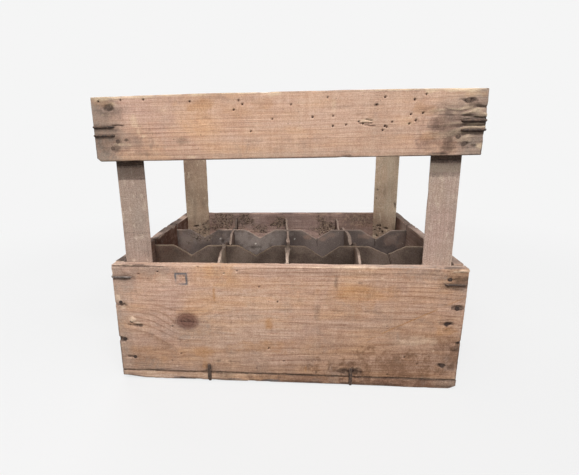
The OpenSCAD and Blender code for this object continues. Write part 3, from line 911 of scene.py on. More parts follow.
def square_stamp(skin, face, middle, up, half, width):
    """Outline of a small square, worn away at one corner."""
    far = np.maximum(np.abs(skin.along - middle), np.abs(skin.up - up))
    line = smooth(width, 0.3 * width, np.abs(far - half))
    gone = smooth(0.2, 1.0, (middle - skin.along + up - skin.up) / (2 * half))
    return line * (1 - 0.8 * gone) * skin.face(face)


def inner_face(skin, side, top_share):
    """1 where the surface looks into the box, and a share of that where it looks up."""
    return most(smooth(0.5, 0.9, skin.normals[..., 1] * side), top_share * skin.looks_up())


def front_board():
    """Front board: grain that parts round a knot, torn nail holes, and the wear, stains and scratches listed
    above. Its right end is shifted outwards, the more the higher."""
    skin = board_skin("front_board", "x", (132, 8, 40, 6), 1.05, 1.2, 3)
    grain_marks(skin, (30, 58), 3, (0.02, 0.03), 12, [FRONT_KNOT])

    def spots(places, seed, ragged=0.9):
        """Ragged spots on the front face."""
        return board_blots(skin, -1, places, seed, ragged)

    heads = [(round(along), round(up)) for along, up in nail_places("front_board_nails", "x")]
    nails = [NAIL_MOVES.get(head, head) for head in heads if NAIL_MOVES.get(head, head)]
    wires = ["box_wire_front_left", "box_wire_front_right", *BOTTOM_WIRES]
    pits, patches = nail_tears(skin, -1, nails, 5)
    patches = patches * smooth(160, 140, skin.along)
    holes = worm_holes(skin, -1, BOARD_HOLES, 0.9, 4)
    specks = spots([(along, up, 1.3, 1.1, 1) for along, up in BOARD_SPECKS], 32, 0.2)
    scratch = splits(skin, -1, [BOARD_SCRATCH], 9, 1.0) * smooth(0.05, 0.4, skin.noise(11, 38))
    rubbed = splits(skin, -1, [BOARD_RUB], 9, 1.0)
    crack = splits(skin, -1, BOARD_SPLITS, 2)
    chips = spots(BOARD_PALE, 31)
    top_grey = 0.4 + 0.45 * smooth(40, 130, skin.along)
    grey_ends = near_ends(skin, 26, 12) * (0.6 - 0.45 * smooth(110, 180, skin.along))
    lower = 0.38 * smooth(110, 15, skin.up) + 0.3 * smooth(-40, 190, skin.along)
    skin.marks.update(
        wear=most(worn_edges(skin, 2.6, 11), patches, chips, specks, 0.5 * rubbed),
        grey=most(grey_ends, top_grey * skin.looks_up(), spots(BOARD_GREY, 40)),
        stain=most(
            spots(BOARD_DARK, 33), 0.85 * wire_rust_and_shadow(skin, -1, wires, 34), pits, holes, 0.8 * crack,
            0.6 * lower_edge_shade(skin, 2.2, 35),
        ),
        faint=0.75 * smooth(84, 116, skin.up) * smooth(0.25, 0.55, skin.noise((70, 400, 26), 39)),
        deep=most(spots(BOARD_DEEP, 36), lower * skin.face(-1), 0.6 * scratch),
        ochre=most(spots(BOARD_OCHRE, 37), 0.6 * scratch),
        ink=square_stamp(skin, -1, *STAMP),
        inside=inner_face(skin, 1, 0.0),
    )
    filler = worm_holes(skin, -1, FILLED_NAILS, 4.0, 4)
    relief = (1 - filler) * wood_relief(skin, 0.3, 0.5, 13) - 0.9 * smooth(0.85, 0.98, chips) - 0.5 * filler
    skin.push(relief + 1.3 * pits + 0.5 * patches + 2.0 * holes + 0.6 * crack)
    skin.shift_end(130, 198, (20, 60, 80, 110, 145), (-0.4, 0.3, 0.8, 1.4, 1.5))
    dress("front_board", skin, board_pine)


def front_rail():
    """Front rail: a crowned top, a lower edge that climbs to the right and is rounded at its left end, and a
    torn right end."""
    def rounded_foot(along):
        """Rise of the lower edge: a slight slope, a rounded left end and slow noise."""
        return 0.0068 * along - 1.0 + 4.0 * smooth(-197.5, -203.5, along) + 0.5 * line_noise(along, 70, 61)

    def crowned_top(along):
        """Drop of the top: slow and short noise, less a crown that falls off to both ends."""
        crown = 1.0 + 1.35 * (1 - (along / 203) ** 4) - 0.4 * smooth(80, 200, along)
        return 0.5 * line_noise(along, 90, 62) + 0.6 * line_noise(along, 17, 63) ** 2 - crown

    skin = board_skin("front_rail", "x", (70, 8, 24, 8), 0.9, 1.1, 6, bottom=rounded_foot, top=crowned_top)
    grain_marks(skin, (18, 225), 6, (0, 0.01), 5)

    def spots(places, seed):
        """Ragged spots on the front face."""
        return board_blots(skin, -1, places, seed)

    wires = [wire for wire in FRAME_WIRES if "front" in wire]
    pits, patches = nail_tears(skin, -1, nail_places("front_rail_nails", "x"), 8)
    pits = pits * (0.45 + 0.55 * smooth(300, 312, skin.up))
    holes = worm_holes(skin, -1, RAIL_HOLES, 1.0, 7)
    cracks = splits(skin, -1, RAIL_SPLITS, 9)
    torn, gaps, crests, depth = torn_fibres(skin, -1, 74, (284, 316), 17)
    # rim greys the rounded top edge: painted shade that damps the highlight the lamps give it
    rim = smooth(2.6, 0.4, skin.edge) * smooth(310, 320, skin.up)
    foot = 0.32 * smooth(279, 269, skin.up) * skin.face(-1)
    dark_ends = 0.75 * near_ends(skin, 34, 18) * skin.face(-1)
    skin.marks.update(
        wear=most(0.75 * worn_edges(skin, 2.6, 14), 0.4 * patches, spots(RAIL_PALE, 41), 0.55 * crests),
        faint=0.7 * smooth(294, 312, skin.up),
        grey=most(near_ends(skin, 46, 15), 0.6 * skin.looks_up(), 0.6 * torn, 0.6 * rim, foot),
        stain=most(
            spots(RAIL_DARK, 42), 0.75 * wire_rust_and_shadow(skin, -1, wires, 43), 0.8 * pits, holes, 0.7 * cracks,
            0.8 * gaps, 0.6 * lower_edge_shade(skin, 1.6, 44),
        ),
        deep=most(dark_ends, 0.9 * torn, spots(RAIL_DEEP, 46), 0.16 * smooth(0, 120, skin.along)),
        ochre=spots(RAIL_OCHRE, 45),
    )
    skin.push(wood_relief(skin, 0.15, 0.5, 16) + 1.1 * pits + 2.0 * holes + 1.0 * cracks + 1.9 * depth)
    skin.shift_end(160, 200, (272, 284, 298, 304, 312, 325), (-1.3, -0.8, 1.1, 1.0, 0.4, -0.3))
    dress("front_rail", skin, rail_pine)


def plain_board(
    node, lie, seed, pith, counts, spacing, face, nails=None, wires=(), grey=0.5, inside=0, frass=(),
    grains=(), top_dirt=0.0, dark=None, **cut
):
    """Board whose outer face looks by the sign face: nails and wires mark it. inside is the sign of the face
    that looks into the box, where crumbs and pale grains lie and where dark (strength, start, end) darkens
    the wood, rising from start to end. top_dirt is the dirt on its top."""
    skin = board_skin(node, lie, counts, spacing, 1.1, seed, **cut)
    grain_marks(skin, pith, seed)
    pits = patches = np.zeros(skin.along.shape)
    if nails:
        pits, patches = nail_tears(skin, face, nail_places(nails, lie), seed + 5)
    stain = 0.35 * smooth(0.7, 0.95, skin.noise((40, 20, 20), seed + 4)) + pits
    stain = stain + wire_rust_and_shadow(skin, face, wires, seed + 6) + 0.5 * lower_edge_shade(skin, 1.8, seed + 7)
    stain = stain + top_dirt * skin.looks_up() * smooth(0.2, 0.6, skin.noise((24, 12, 12), seed + 12))
    marks = skin.marks
    marks["wear"] = np.clip(worn_edges(skin, 2.4, seed + 1) + patches, 0, 1)
    marks["grey"] = grey * near_ends(skin, 30, seed + 2)
    marks["stain"] = np.clip(stain, 0, 1)
    marks["deep"] = 0.6 * smooth(0.55, 0.85, skin.noise((90, 40, 40), seed + 8))
    relief = wood_relief(skin, 0.3, 0.5, seed + 3) + 1.2 * pits
    if inside:
        marks["inside"] = inner_face(skin, inside, 0.8)
    if dark:
        strength, start, end = dark
        shade = strength * smooth(start, end, skin.along) * inner_face(skin, inside, 0.0)
        marks["deep"] = most(marks["deep"], shade)
    if frass:
        marks["frass"] = board_blots(skin, inside, frass, seed + 9)
        pale = smooth(0.62, 0.72, skin.noise(2.6, seed + 13)) * board_blots(skin, inside, grains, seed + 14)
        marks["wear"] = most(marks["wear"], pale)
        relief = relief + 0.8 * marks["frass"] * skin.noise(4, seed + 11) - 0.8 * pale
    skin.push(relief)
    return skin


def back_board():
    """Back board: eaten to crumbs on its inner face, with a raised top that is worn less than its edges."""
    def raised_top(along):
        """Drop of the top: slow noise, less a rise."""
        return 0.5 * line_noise(along, 40, 29) - 1.3

    wires = ["box_wire_back_left", "box_wire_back_right", *BOTTOM_WIRES]
    skin = plain_board(
        "back_board", "x", 21, (40, 70), (80, 8, 80, 6), 1.6, 1, "back_board_nails", wires, inside=-1,
        frass=BACK_FRASS, grains=BACK_GRAINS, top_dirt=0.6, dark=(0.75, 84, 106), top=raised_top,
    )
    skin.marks["wear"] = skin.marks["wear"] * (1 - 0.8 * skin.looks_up())
    dress("back_board", skin, board_pine)


def plain_rail(name, lie, seed, pith, face):
    """Rail at the back or at an end."""
    node = name + "_rail"
    wires = [wire for wire in FRAME_WIRES if name in wire]
    skin = plain_board(node, lie, seed, pith, (44, 8, 44, 8), 1.8, face, node + "_nails", wires, grey=0.7)
    dress(node, skin, rail_pine)


def end_board(name, seed, side, chips, dark, hollow, soot, top_dirt):
    """End board with a saw kerf for each long divider. Chips out of its top are listed as (along, half
    length, depth). hollow gives how far its inner face is worn back at the front and at the back, soot the
    darkening of its top towards the back, and top_dirt the dirt on all of its top."""
    node = name + "_end_board"
    kerfs = []
    for sheet in ("long_divider_front", "long_divider_back"):
        low, high = node_box(sheet)
        kerfs.append((low[1] - SLOT_PLAY / 2, high[1] + SLOT_PLAY / 2))

    def drop(along):
        """Drop of the top: a kerf's depth in a kerf, and slow wear with the chips elsewhere."""
        inside = np.zeros(len(along), bool)
        for start, end in kerfs:
            inside |= (along > start) & (along < end)
        worn = 0.7 * line_noise(along, 60, seed) ** 2
        for place, half, depth in chips:
            far = np.abs(along - place) / half + 0.5 * line_noise(along, 3, seed)
            worn = worn + depth * smooth(1.3, 0.5, far)
        return np.where(inside, KERF_DEPTH, worn)

    cuts = [edge for kerf in kerfs for edge in kerf]
    wires = ["box_wire_" + depth + "_" + name for depth in ("front", "back")]
    skin = plain_board(
        node, "y", seed, (30, 60), (60, 8, 60, 5), 2.0, side, name + "_end_nails", wires, inside=-side,
        top_dirt=top_dirt, dark=dark, top=drop, cuts=cuts,
    )
    top = skin.looks_up()
    skin.marks["stain"] = most(skin.marks["stain"], soot * top * smooth(0, 60, skin.along))
    skin.marks["grey"] = most(skin.marks["grey"], 0.6 * top)
    inwards = np.clip(-side * skin.through / skin.through.max(), 0, 1)
    skin.points[..., 1] += side * inwards * np.interp(skin.along, (-60, 60), hollow)
    dress(node, skin, end_pine)


def bottom_plank(name, seed, outer):
    """Bottom plank. The lower edge at the crate's front or back, by the sign outer, sags a little and is worn
    upwards at its ends. The front plank's face has dark seams, and blue and dark spots."""
    node = "bottom_plank_" + name
    skin = plain_board(node, "flat", seed, (30, 0), (56, 8, 56, 8), 1.8, 1)
    marks = skin.marks
    half = (skin.through.max() - skin.through.min()) / 2
    if outer:
        inwards = np.abs(skin.up - outer * PLANK_OUTER_UP)
        rise = (0.8 * skin.noise((45, 400, 400), seed + 20) - 2.5) * smooth(40, 0, inwards)
        worn = 3.0 * smooth(-168, -200, skin.along) + 3.6 * smooth(192, 202, skin.along)
        worn = worn - 0.8 * smooth(60, 110, skin.along)
        rise = rise + worn * smooth(60, 0, inwards)
        shift = rise * (skin.through + half) / (2 * half)
        skin.points = skin.points - shift[..., None] * np.array([0, 1.0, 0])
    if outer < 0:
        face = smooth(-153, -155, skin.up)
        patchy = smooth(0.3, 0.6, skin.noise((22, 9, 9), seed + 22))
        seam = smooth(1.6, 0.5, skin.through + half) + 0.7 * patchy * smooth(1.8, 0.6, half - skin.through)
        marks["deep"] = most(marks["deep"], blots(skin, skin.along, skin.up, PLANK_DEEP, seed + 21))
        marks["stain"] = most(marks["stain"], 0.85 * seam * face)
        marks["ink"] = blots(skin, skin.along, skin.through, PLANK_BLUE, seed + 23) * face
    dress(node, skin, plank_pine)


front_board()
front_rail()
back_board()
plain_rail("back", "x", 22, (-20, 240), 1)
plain_rail("left", "y", 23, (20, 350), 1)
plain_rail("right", "y", 24, (-24, 230), -1)
end_board("left", 25, 1, [(34, 5, 1.6), (-30, 7, 1.0)], (1.1, -56, -44), (2.6, 0.6), 0.0, 0.85)
end_board("right", 26, -1, [(36, 5, 2.4), (62, 4, 1.0)], (1.05, 60, 104), (3.2, 3.2), 0.75, 0.25)
bottom_plank("front", 71, -1)
bottom_plank("middle", 72, 0)
bottom_plank("back", 73, 1)


# Posts

POST_END_ROUND = 0.8
POST_STEP = 1.2
POST_CAP_REACH = 4.0
BAND_SOFT = 0.7
DIM_HEIGHTS = (150, 215)


def corner_post(
    node, finish, seed, lines=(), smudges=(), pits=(), frass=(), dark_below=0, dim=(0, 0), slim=0.0, lean=0.0,
    out=0.0, shadow_bands=(), painted_light_band=(0, 0, 0)
):
    """Triangular post: two legs against the boards and a slanted face towards the bottles. Pits and frass lie
    on the slanted face, smudges on the leg towards the front, all given across the crate and up. lines are
    thin dark lines across the post, listed as (height, strength). slim shortens the leg across the crate,
    lean moves the other leg's edge outwards, and out moves the whole post outwards. shadow_bands are bands of
    painted shadow below the rail, the steps of the rail's cast shadow, on the leg towards the front, listed
    as (from, to, strength), and painted_light_band is a paler band of painted light within that shadow. dim
    gives the darkening at the two DIM_HEIGHTS, and the wood is dark below dark_below."""
    low, high = node_box(node)
    side_x = 1 if low[0] > 0 else -1
    side_y = 1 if low[1] > 0 else -1
    square = np.array([high[0] if side_x > 0 else low[0], high[1] if side_y > 0 else low[1]])
    square = square + [side_x * out, 0]
    tip_x = square - [side_x * (high[0] - low[0] - slim), 0]
    tip_y = square + [side_x * lean, -side_y * (high[1] - low[1])]
    corners = np.array([tip_x, square, tip_y])
    if side_x * side_y < 0:
        corners = corners[::-1]

    def outline(along):
        """The same three corners all the way up."""
        return np.repeat(corners[None], len(along), axis=0)

    def radius(along):
        """Radii of worn edges, held under 1 mm."""
        return np.minimum(0.3 + 0.3 * plain_edges(1.0, seed, 3)(along), 1.0)

    first, last = low[2] + POST_END_ROUND, high[2] - POST_END_ROUND
    stations = np.append(np.arange(first, last, POST_STEP), last)
    skin = carried_skin(
        stations, outline, radius, (26, 26, 34), POST_END_ROUND, POST_CAP_REACH, "z", np.zeros(3)
    )
    grain_marks(skin, (square[0] + 20 * side_x, square[1] - 35 * side_y), seed)
    slanted = (np.abs(skin.normals[..., 1]) > 0.5) & (np.abs(skin.normals[..., 2]) > 0.5)
    front = skin.normals[..., 2] < -0.9

    def spots(places, offset, ragged=0.9):
        """Ragged spots, given across the crate and up."""
        return blots(skin, skin.through, skin.along, places, seed + offset, ragged)

    def painted_band(start, end, strength):
        """Band on the leg towards the front, between two heights, with soft edges: painted shadow when it
        goes into the stains, painted light when it goes into the wear.
        """
        rise = smooth(start - BAND_SOFT, start + BAND_SOFT, skin.along)
        return strength * rise * smooth(end + BAND_SOFT, end - BAND_SOFT, skin.along) * front

    holes = spots(pits, 5, 0.5) * slanted
    clumps = spots(frass, 6) * slanted
    stain = 0.3 * smooth(0.7, 0.95, skin.noise((30, 14, 14), seed + 4)) + holes
    # Smudges and the bands of painted shadow under the rail go in with the stains
    stain = most(stain, spots(smudges, 9) * front, *[painted_band(*band) for band in shadow_bands])
    for height, strength in lines:
        stain = most(stain, strength * smooth(1.2, 0.3, np.abs(skin.along - height)))
    scuffs = smooth(0.72, 0.86, skin.noise((7, 3, 3), seed + 10))
    dimmed = np.interp(skin.along, DIM_HEIGHTS, dim)
    # The band of painted light goes in with the wear
    skin.marks.update(
        wear=most(worn_edges(skin, 1.6, seed + 1, 1.0), 0.55 * scuffs, painted_band(*painted_light_band)),
        grey=0.35 * skin.noise((50, 12, 12), seed + 2),
        stain=np.clip(stain, 0, 1),
        frass=clumps,
        deep=most(dimmed, 0.9 * smooth(dark_below + 16, dark_below - 16, skin.along)),
    )
    relief = wood_relief(skin, 0.25, 0.4, seed + 3) + 1.5 * holes
    skin.push(relief + 0.8 * clumps * skin.noise(4, seed + 8))
    dress(node, skin, finish)


# Front posts: the bands are painted shadow of the front rail in two steps, and the front-left post's smudge
# at 260, just under the rail, is painted shade
corner_post(
    "post_front_left", post_pine, 41, [(181.3, 0.3), (224, 0.12)],
    [(-170, 260, 40, 9, 0.2), (-158, 160, 5, 14, 0.2)], dim=(0.3, 0.3), out=0.9,
    shadow_bands=[
        (260.4, 270, 0.6), (256.8, 260.4, 0.75), (246.4, 256.8, 0.2), (245.4, 246.4, 0.45),
        (243.2, 245.4, 0.7),
    ],
)
# The front-right post's paler band, 249 to 257, is painted light within the rail's painted shadow
corner_post(
    "post_front_right", post_pine, 42, [(206, 0.1)], [(183, 190, 3, 8, 0.2)], slim=0.2, out=0.9,
    shadow_bands=[(262, 270, 0.4), (259, 262, 0.75), (244.2, 248.4, 0.3)], painted_light_band=(249, 257, 0.9),
)
# Back-left post: dim darkens its upper part, painted shade that evens out the light falling on it
corner_post(
    "post_back_left", back_post_pine_painted_light, 43, pits=[(-174, 127, 6, 1.6, 1), (-164, 127.4, 3.5, 1.2, 0.9)],
    frass=[(-160, 116, 28, 18, 0.75)], dark_below=148, dim=(0.4, 1.0), lean=2.2,
)
corner_post(
    "post_back_right", back_post_pine_painted_light, 44,
    pits=[
        (164.5, 126, 3.6, 2.2, 1.3), (174, 123.5, 4.2, 2.8, 1.3), (161, 107, 2.2, 2.6, 1.2),
        (169, 116, 2, 2.6, 1.2), (165, 121, 2.4, 1.8, 1.1), (159, 192, 1.4, 2.4, 0.9),
        (158, 176, 1.2, 2, 0.8), (185, 167, 1.5, 6, 0.7),
    ],
    frass=[(160, 116, 14, 18, 0.8)], dark_below=147, dim=(0, 0.1), lean=1.6,
)


# Divider grid

KERF_FOOT = node_box("left_end_board")[1][2] - KERF_DEPTH + SLOT_PLAY
LONG_Y = [node_middle("long_divider_" + side, 1) for side in ("front", "back")]
CROSS_X = [node_middle("cross_divider_" + side, 0) for side in ("left", "middle", "right")]
IN_L = float(node_box("right_end_board")[0][0])
IN_W = float(node_box("back_board")[0][1])
# Of the left, middle and right cross divider. Bends: places along them, and how far each lies to the left
# of a straight sheet there. Ages: along, half length, dust, dirt. Peaks: along, half length, height.
# Knobs: along, half length, swell
BENDS = [
    ((-144, -50, 10, 50, 144), (0, -1, 0.8, 2.5, 12)), ((-144, -50, 20, 144), (0, 0, 1.8, 8.5)),
    ((-144, 0, 10, 100, 144), (-2.5, -4, -4, 6, 6)),
]
AGES = [
    [(-96, 49, 0.8, 0), (2, 49, 0.1, 0.45), (98, 47, 0, 0.8)],
    [(-96, 49, 1.15, 0), (-63, 10, 1.2, 0), (2, 49, 0.1, 0.35), (98, 47, 0, 0.4)],
    [(-96, 49, 0.25, 0.1), (2, 49, 0.3, 0.6), (98, 47, 0, 0.45)],
]
PEAKS = [[(-50, 5, 4)], [(-62, 5, 2.5), (10, 3, 2)], [(-39, 5, 2)]]
KNOBS = [[(-52, 6, 0.8)], [(-63, 8, 2.4), (12, 4, 1.6)], [(-40, 8, 1.2), (-66, 6, 0.8), (10, 34, 1.1)]]


def vee_drop(along, middles, depths):
    """Depth of the V notches below the crest: straight flanks, with an arc of the shoulder radius at the top,
    times each notch's own share of the depth."""
    slope = math.atan(VEE_D / (VEE_W / 2))
    reach = VEE_W / 2 + VEE_SHOULDER_R * math.tan(slope / 2)
    apart = np.abs(along[..., None] - np.array(middles))
    far = apart.min(axis=-1)
    into = np.clip(reach - far, 0, VEE_SHOULDER_R * math.sin(slope))
    shoulder = VEE_SHOULDER_R - np.sqrt(VEE_SHOULDER_R ** 2 - into ** 2)
    flank = VEE_D - far * math.tan(slope)
    drop = np.where(far > reach - VEE_SHOULDER_R * math.sin(slope), shoulder, flank)
    return drop * np.array(depths)[apart.argmin(axis=-1)]


def slot_mask(along, slots, half):
    """True within half a width of a slot."""
    return (np.abs(along[:, None] - np.array(slots)) < half).any(axis=1)


def sideways(along, places, shifts):
    """Bend of a sheet out of its plane: straight stretches between the listed places, with the corners eased
    by a mean over five places."""
    total = np.zeros(along.shape)
    for offset in (-12, -6, 0, 6, 12):
        total = total + np.interp(along + offset, places, shifts)
    return total / 5


def divider(
    node, lie, crossing, ends, from_below, seed, finish, depths, fray, cracks=(), frass=(), middles=None,
    bend=None, spots=(), bare=(), dust=(), flecks=(), dull=(), ages=(), knobs=(), peaks=()
):
    """Divider sheet with V notches over the middles of the cells, or over the given middles, and a slot at
    each crossing sheet. Spots, bare layers, dust, flecks and frass lie on its front. cracks lists tears that
    run down from its top (along, top, lean, length). dull lists stretches of the rim that are less pale
    (along, half length, share), ages lists stretches of the whole sheet (along, half length, dust, dirt),
    knobs lists swellings of a frayed rim (along, half length, swell) and peaks lists splinters that stand
    above it (along, half length, height)."""
    _, half, height, _ = board_axes(node, lie)
    walls = np.array([ends[0], *crossing, ends[1]])
    if middles is None:
        middles = (walls[1:] + walls[:-1]) / 2
    slot_half = half + SLOT_PLAY / 2
    lap = (height[0] + height[1]) / 2
    tab_foot = KERF_FOOT - height[0]

    def rim_drop(along):
        """Drop of the rim: the V notches and ragged noise, less the splinters."""
        ragged = fray * line_noise(along, 4, seed) * line_noise(along, 19, seed + 1)
        drop = vee_drop(along, middles, depths) + ragged
        for place, reach, rise in peaks:
            drop = drop - rise * smooth(1.0, 0.2, np.abs(along - place) / reach)
        return drop

    def top(along):
        """Drop of the top: the rim, or down to the lap in a slot that is open above."""
        drop = rim_drop(along)
        if from_below:
            return drop
        return np.where(slot_mask(along, crossing, slot_half), height[1] - lap, drop)

    def bottom(along):
        """Rise of the foot: up to the lap in a slot that is open below, up to the kerf's foot at a tab."""
        if not from_below:
            return 0 * along
        foot = np.where(slot_mask(along, crossing, slot_half), lap - height[0], 0 * along)
        return np.where((along < ends[0]) | (along > ends[1]), tab_foot, foot)

    cuts = [place + side * slot_half for place in crossing for side in (-1, 1)]
    if from_below:
        cuts += list(ends)
    skin = board_skin(node, lie, (60, 6, 60, 3), 1.3, 0.45, seed, 0.4, bottom, top, cuts)

    def on_front(places, offset, ragged=0.9):
        """Ragged spots on the front face."""
        return board_blots(skin, -1, places, seed + offset, ragged)

    below = height[1] - rim_drop(skin.along) - skin.up
    ragged = 0.55 + 0.8 * fray * skin.noise((9, 60, 60), seed + 2) ** 2
    rim = smooth(ragged, 0.3 * ragged, below)
    for place, reach, share in dull:
        rim = rim * (1 - share * smooth(1.2, 0.7, np.abs(skin.along - place) / reach))
    torn = np.zeros(skin.along.shape)
    for start, top_z, lean, length in cracks:
        down = np.clip((top_z - skin.up) / length, 0, 1)
        line = start + lean * (top_z - skin.up) + 1.2 * (skin.noise((400, 400, 7), seed + 5) - 0.5)
        tear = smooth(1.0, 0.3, np.abs(skin.along - line)) * smooth(1.0, 0.7, down) * (down > 0)
        torn = most(torn, tear)
    dusty = on_front(dust, 11)
    stain = most(0.2 * smooth(0.55, 0.9, skin.noise((25, 60, 18), seed + 3)), on_front(spots, 9))
    for place, reach, powder, dirt in ages:
        here = smooth(1.06, 0.94, np.abs(skin.along - place) / reach)
        dusty = most(dusty, powder * here * (0.6 + 0.6 * skin.noise(5, seed + 13)))
        stain = most(stain, dirt * here)
    skin.marks.update(
        wear=rim,
        bare=on_front(bare, 10),
        dust=dusty * (1 - 0.8 * rim),
        fleck=on_front([(*fleck, 1.2, 1.2, 1) for fleck in flecks], 12, 0.2),
        stain=np.clip(stain + 0.8 * torn, 0, 1),
        frass=on_front(frass, 6),
    )
    frayed = 0.4 * fray * smooth(8, 2, below) * skin.noise((2.8, 7, 7), seed + 15)
    skin.push(0.3 * skin.noise(6, seed + 4) + 0.5 * torn + frayed)
    for place, reach, swell in knobs:
        far = np.hypot((skin.along - place) / reach, np.maximum(below - 2, 0) / 6)
        lump = np.exp(-far ** 2) * (0.5 + skin.noise(4, seed + 14))
        skin.points[..., 1] += swell * lump * np.sign(skin.through)
    if bend:
        skin.points[..., 1] += sideways(skin.along, *bend)
    dress(node, skin, finish)


BENT_X = [
    [place - float(sideways(np.array(along), *bend)) for place, bend in zip(CROSS_X, BENDS)]
    for along in LONG_Y
]
divider(
    "long_divider_front", "x", BENT_X[0], (-IN_L, IN_L), True, 51, grey_sheet, (1.05, 1.05, 1.18, 0.82), 1.0,
    cracks=[(140, 129, 0.35, 26)], middles=(-137, -43, 50.2, 139.4), spots=[(42, 112, 30, 14, 0.25)],
    # The bare layers on the left cell are a browner worn layer, and also painted light in the front-left
    # post's shade
    bare=[(-172, 122, 26, 30, 0.55), (-146, 120, 24, 22, 0.4)],
    dust=[(18, 134, 14, 8, 0.4), (-66, 120, 16, 15, 0.45), (-160, 118, 44, 28, 0.35)],
    dull=[(110, 100, 0.4), (-8, 16, 0.4)],
)
divider(
    "long_divider_back", "x", BENT_X[1], (-IN_L, IN_L), True, 52, pale_sheet, (1.0, 1.0, 1.12, 1.1), 1.0,
    cracks=[(47, 124, 0.05, 14), (141, 124, -0.1, 14)], frass=[(-142, 126, 30, 12, 0.65)],
    middles=(-141, -46.8, 46.1, 142.2),
    spots=[
        (-110, 119, 4, 4, 0.7), (-58, 109, 9, 3, 0.55), (-48, 110, 5, 3, 0.5), (-167, 115, 4, 3, 0.5),
        (-135, 111, 26, 9, 0.3),
    ],
    bare=[
        (32, 126, 10, 4, 0.8), (55, 123, 8, 5, 0.7), (125, 128, 12, 5, 0.75), (70, 130, 8, 4, 0.5),
        (-181, 132, 6, 8, 0.6), (-176, 116, 14, 22, 0.4), (166, 122, 18, 12, 0.4), (184, 118, 9, 18, 0.35),
    ],
    dust=[(-55, 122, 44, 24, 0.45), (-20, 124, 30, 18, 0.3), (-172, 122, 16, 16, 0.22)],
    flecks=[(-113.6, 123.9), (-54.7, 115.1), (10.2, 124.2)],
    dull=[(-142, 32, 1), (120, 90, 0.4), (0, 26, 0.3)],
)
for number, side in enumerate(("left", "middle", "right")):
    divider(
        "cross_divider_" + side, "y", LONG_Y, (-IN_W, IN_W), False, 53 + number, brown_sheet, (1, 1, 1), 3.0,
        bend=BENDS[number], ages=AGES[number], knobs=KNOBS[number], peaks=PEAKS[number],
    )


# Wire and nails

OTHER_METAL = {"front_rail_nails": dull_nail, "box_wire_front_left": grey_wire}
WIRE_STEP = 0.8
WIRE_SIDES = 14


def bottom_wire(node, seed):
    """Wire under the bottom, as rings square to a path in one upright plane: down the front, round under the
    planks, and up the back. Rust swells and thins it."""
    low, high = node_box(node)
    leg = high[1] - (high[0] - low[0]) / 2
    half = [
        (0, -0.6), (leg - 16, -0.6), (leg - 4, -1.5), (leg - 0.5, -1.0), (leg + 0.6, 1.5), (leg + 0.4, 9),
        (leg - 0.4, high[2] + 2.6),
    ]
    turns = np.array([(-y, z) for y, z in half[:0:-1]] + half)
    run = np.concatenate([[0], np.cumsum(np.linalg.norm(np.diff(turns, axis=0), axis=1))])
    steps = np.arange(0, run[-1], WIRE_STEP)
    path = np.stack([np.interp(steps, run, turns[:, axis]) for axis in (0, 1)], axis=-1)
    path[2:-2] = (path[:-4] + path[1:-3] + path[2:-2] + path[3:-1] + path[4:]) / 5
    tangent = np.gradient(path, axis=0)
    tangent = tangent / np.linalg.norm(tangent, axis=1, keepdims=True)
    angle = np.linspace(0, 2 * math.pi, WIRE_SIDES, endpoint=False)
    thick = 1.7 + 0.5 * line_noise(steps, 7, seed) + 0.3 * line_noise(steps, 2.2, seed + 1)
    thick[[0, -1]] = 0
    middle = (low[0] + high[0]) / 2 + 1.2 * (line_noise(steps, 16, seed + 2) - 0.5)
    across = thick[:, None] * np.cos(angle)
    beside = thick[:, None] * np.sin(angle)
    points = np.stack([
        middle[:, None] + across,
        path[:, None, 0] - beside * tangent[:, None, 1],
        path[:, None, 1] + beside * tangent[:, None, 0],
    ], axis=-1)
    return Skin(points, 0 * points, 0 * across, "x", np.zeros(3))


for node, seed in zip(BOTTOM_WIRES, (81, 86)):
    dress(node, bottom_wire(node, seed), rusty_wire)
for name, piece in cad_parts.items():
    if "wire" in name or "nails" in name:
        piece.data.materials.clear()
        piece.data.materials.append(OTHER_METAL.get(name, rusty_wire if "wire" in name else rusty_nail))


# Camera, lamps, floor and backdrop


def add_camera():
    """Camera of the photograph: yaw about the upright, then pitch, then roll about the line of sight. Its
    lens has the photograph's focal length, and its middle is shifted as the photograph's is."""
    yaw = Matrix.Rotation(CAMERA_YAW, 3, "Z")
    pitch = Matrix.Rotation(CAMERA_PITCH, 3, "X")
    roll = Matrix.Rotation(CAMERA_ROLL, 3, "Y")
    right, forward, up = (yaw @ pitch @ roll).col
    lens = bpy.data.cameras.new("camera")
    lens.sensor_fit = "HORIZONTAL"
    lens.sensor_width = SENSOR_W
    lens.lens = FOCAL_PX * SENSOR_W / PHOTO_W
    lens.shift_x = (PHOTO_MIDDLE_PX[0] - CENTRE_PX[0]) / PHOTO_W
    lens.shift_y = (CENTRE_PX[1] - PHOTO_MIDDLE_PX[1]) / PHOTO_W
    camera = bpy.data.objects.new("camera", lens)
    axes = Matrix((right, up, -forward)).transposed().to_4x4()
    camera.matrix_world = Matrix.Translation(Vector(CAMERA_PLACE) * MM) @ axes
    bpy.context.scene.collection.objects.link(camera)
    bpy.context.scene.camera = camera


def add_lamp(name, azimuth, elevation, share):
    """Wide, low lamp. Its power puts the given share of full light on an upright face that looks its way."""
    across, above = math.radians(azimuth), math.radians(elevation)
    away = Vector((math.sin(across) * math.cos(above), -math.cos(across) * math.cos(above), math.sin(above)))
    light = bpy.data.lights.new(name, "AREA")
    light.shape = "RECTANGLE"
    light.size, light.size_y = LAMP_SIZE
    light.energy = share * math.pi ** 2 * LAMP_FAR ** 2 / math.cos(above)
    lamp = bpy.data.objects.new(name, light)
    lamp.location = away * LAMP_FAR + Vector((0, 0, LAMP_AIM_Z))
    lamp.rotation_mode = "QUATERNION"
    lamp.rotation_quaternion = away.to_track_quat("Z", "Y")
    bpy.context.scene.collection.objects.link(lamp)


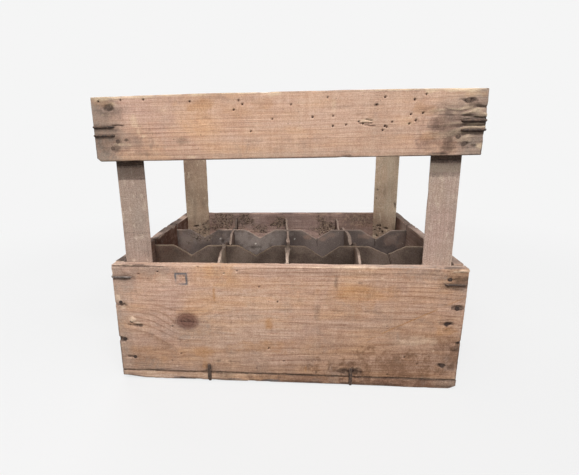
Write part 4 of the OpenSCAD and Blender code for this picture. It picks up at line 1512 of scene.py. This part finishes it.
def add_backdrop():
    """Dim grey light on the object, and the backdrop's own tone for the rays that see it."""
    world = bpy.data.worlds.new("backdrop")
    bpy.context.scene.world = world
    f = Finish(world)
    fill = f.add("ShaderNodeBackground", {"Color": even(FILL_LIGHT)})
    seen = f.add("ShaderNodeBackground", {"Color": even(BACKDROP)})
    both = f.add("ShaderNodeMixShader", {0: f.seen_share(), 1: fill, 2: seen})
    f.add("ShaderNodeOutputWorld", {"Surface": both})


def floor_finish():
    """Pale floor that keeps a soft shadow near the crate and fades into the backdrop. Under the crate it
    keeps the whole shadow."""
    f = Finish(bpy.data.materials.new("pale_floor"))
    bounce = f.add("ShaderNodeBsdfDiffuse", {"Color": even(FLOOR_BOUNCE)})
    plain = f.add("ShaderNodeEmission", {"Color": even(BACKDROP)})
    shaded = f.add("ShaderNodeBsdfDiffuse", {"Color": even(FLOOR_TONE)})
    far = f.add("ShaderNodeVectorMath", {0: f.place()}, "Value", operation="LENGTH")
    keep = f.span(far, *FLOOR_FADE, FLOOR_SHADOW, 0.0)
    inside = []
    for axis, half in enumerate(FLOOR_UNDER):
        reach = f.math("ABSOLUTE", f.add("ShaderNodeSeparateXYZ", {0: f.place()}, axis))
        inside.append(f.span(reach, half, half - FLOOR_UNDER_SOFT))
    keep = f.math("MAXIMUM", keep, f.times(*inside))
    pale = f.add("ShaderNodeMixShader", {0: keep, 1: plain, 2: shaded})
    both = f.add("ShaderNodeMixShader", {0: f.seen_share(), 1: bounce, 2: pale})
    f.add("ShaderNodeOutputMaterial", {"Surface": both})
    return f.owner


def add_floor():
    """Wide square floor just under the crate's wires."""
    mesh = bpy.data.meshes.new("floor")
    h = FLOOR_HALF
    corners = [(-h, -h, FLOOR_Z), (h, -h, FLOOR_Z), (h, h, FLOOR_Z), (-h, h, FLOOR_Z)]
    mesh.from_pydata(corners, [], [(0, 1, 2, 3)])
    mesh.materials.append(floor_finish())
    floor = bpy.data.objects.new("floor", mesh)
    bpy.context.scene.collection.objects.link(floor)


add_camera()
for name, (azimuth, elevation, share) in LAMPS.items():
    add_lamp(name, azimuth, elevation, share)
add_backdrop()
add_floor()
bpy.context.scene.view_settings.view_transform = "Standard"
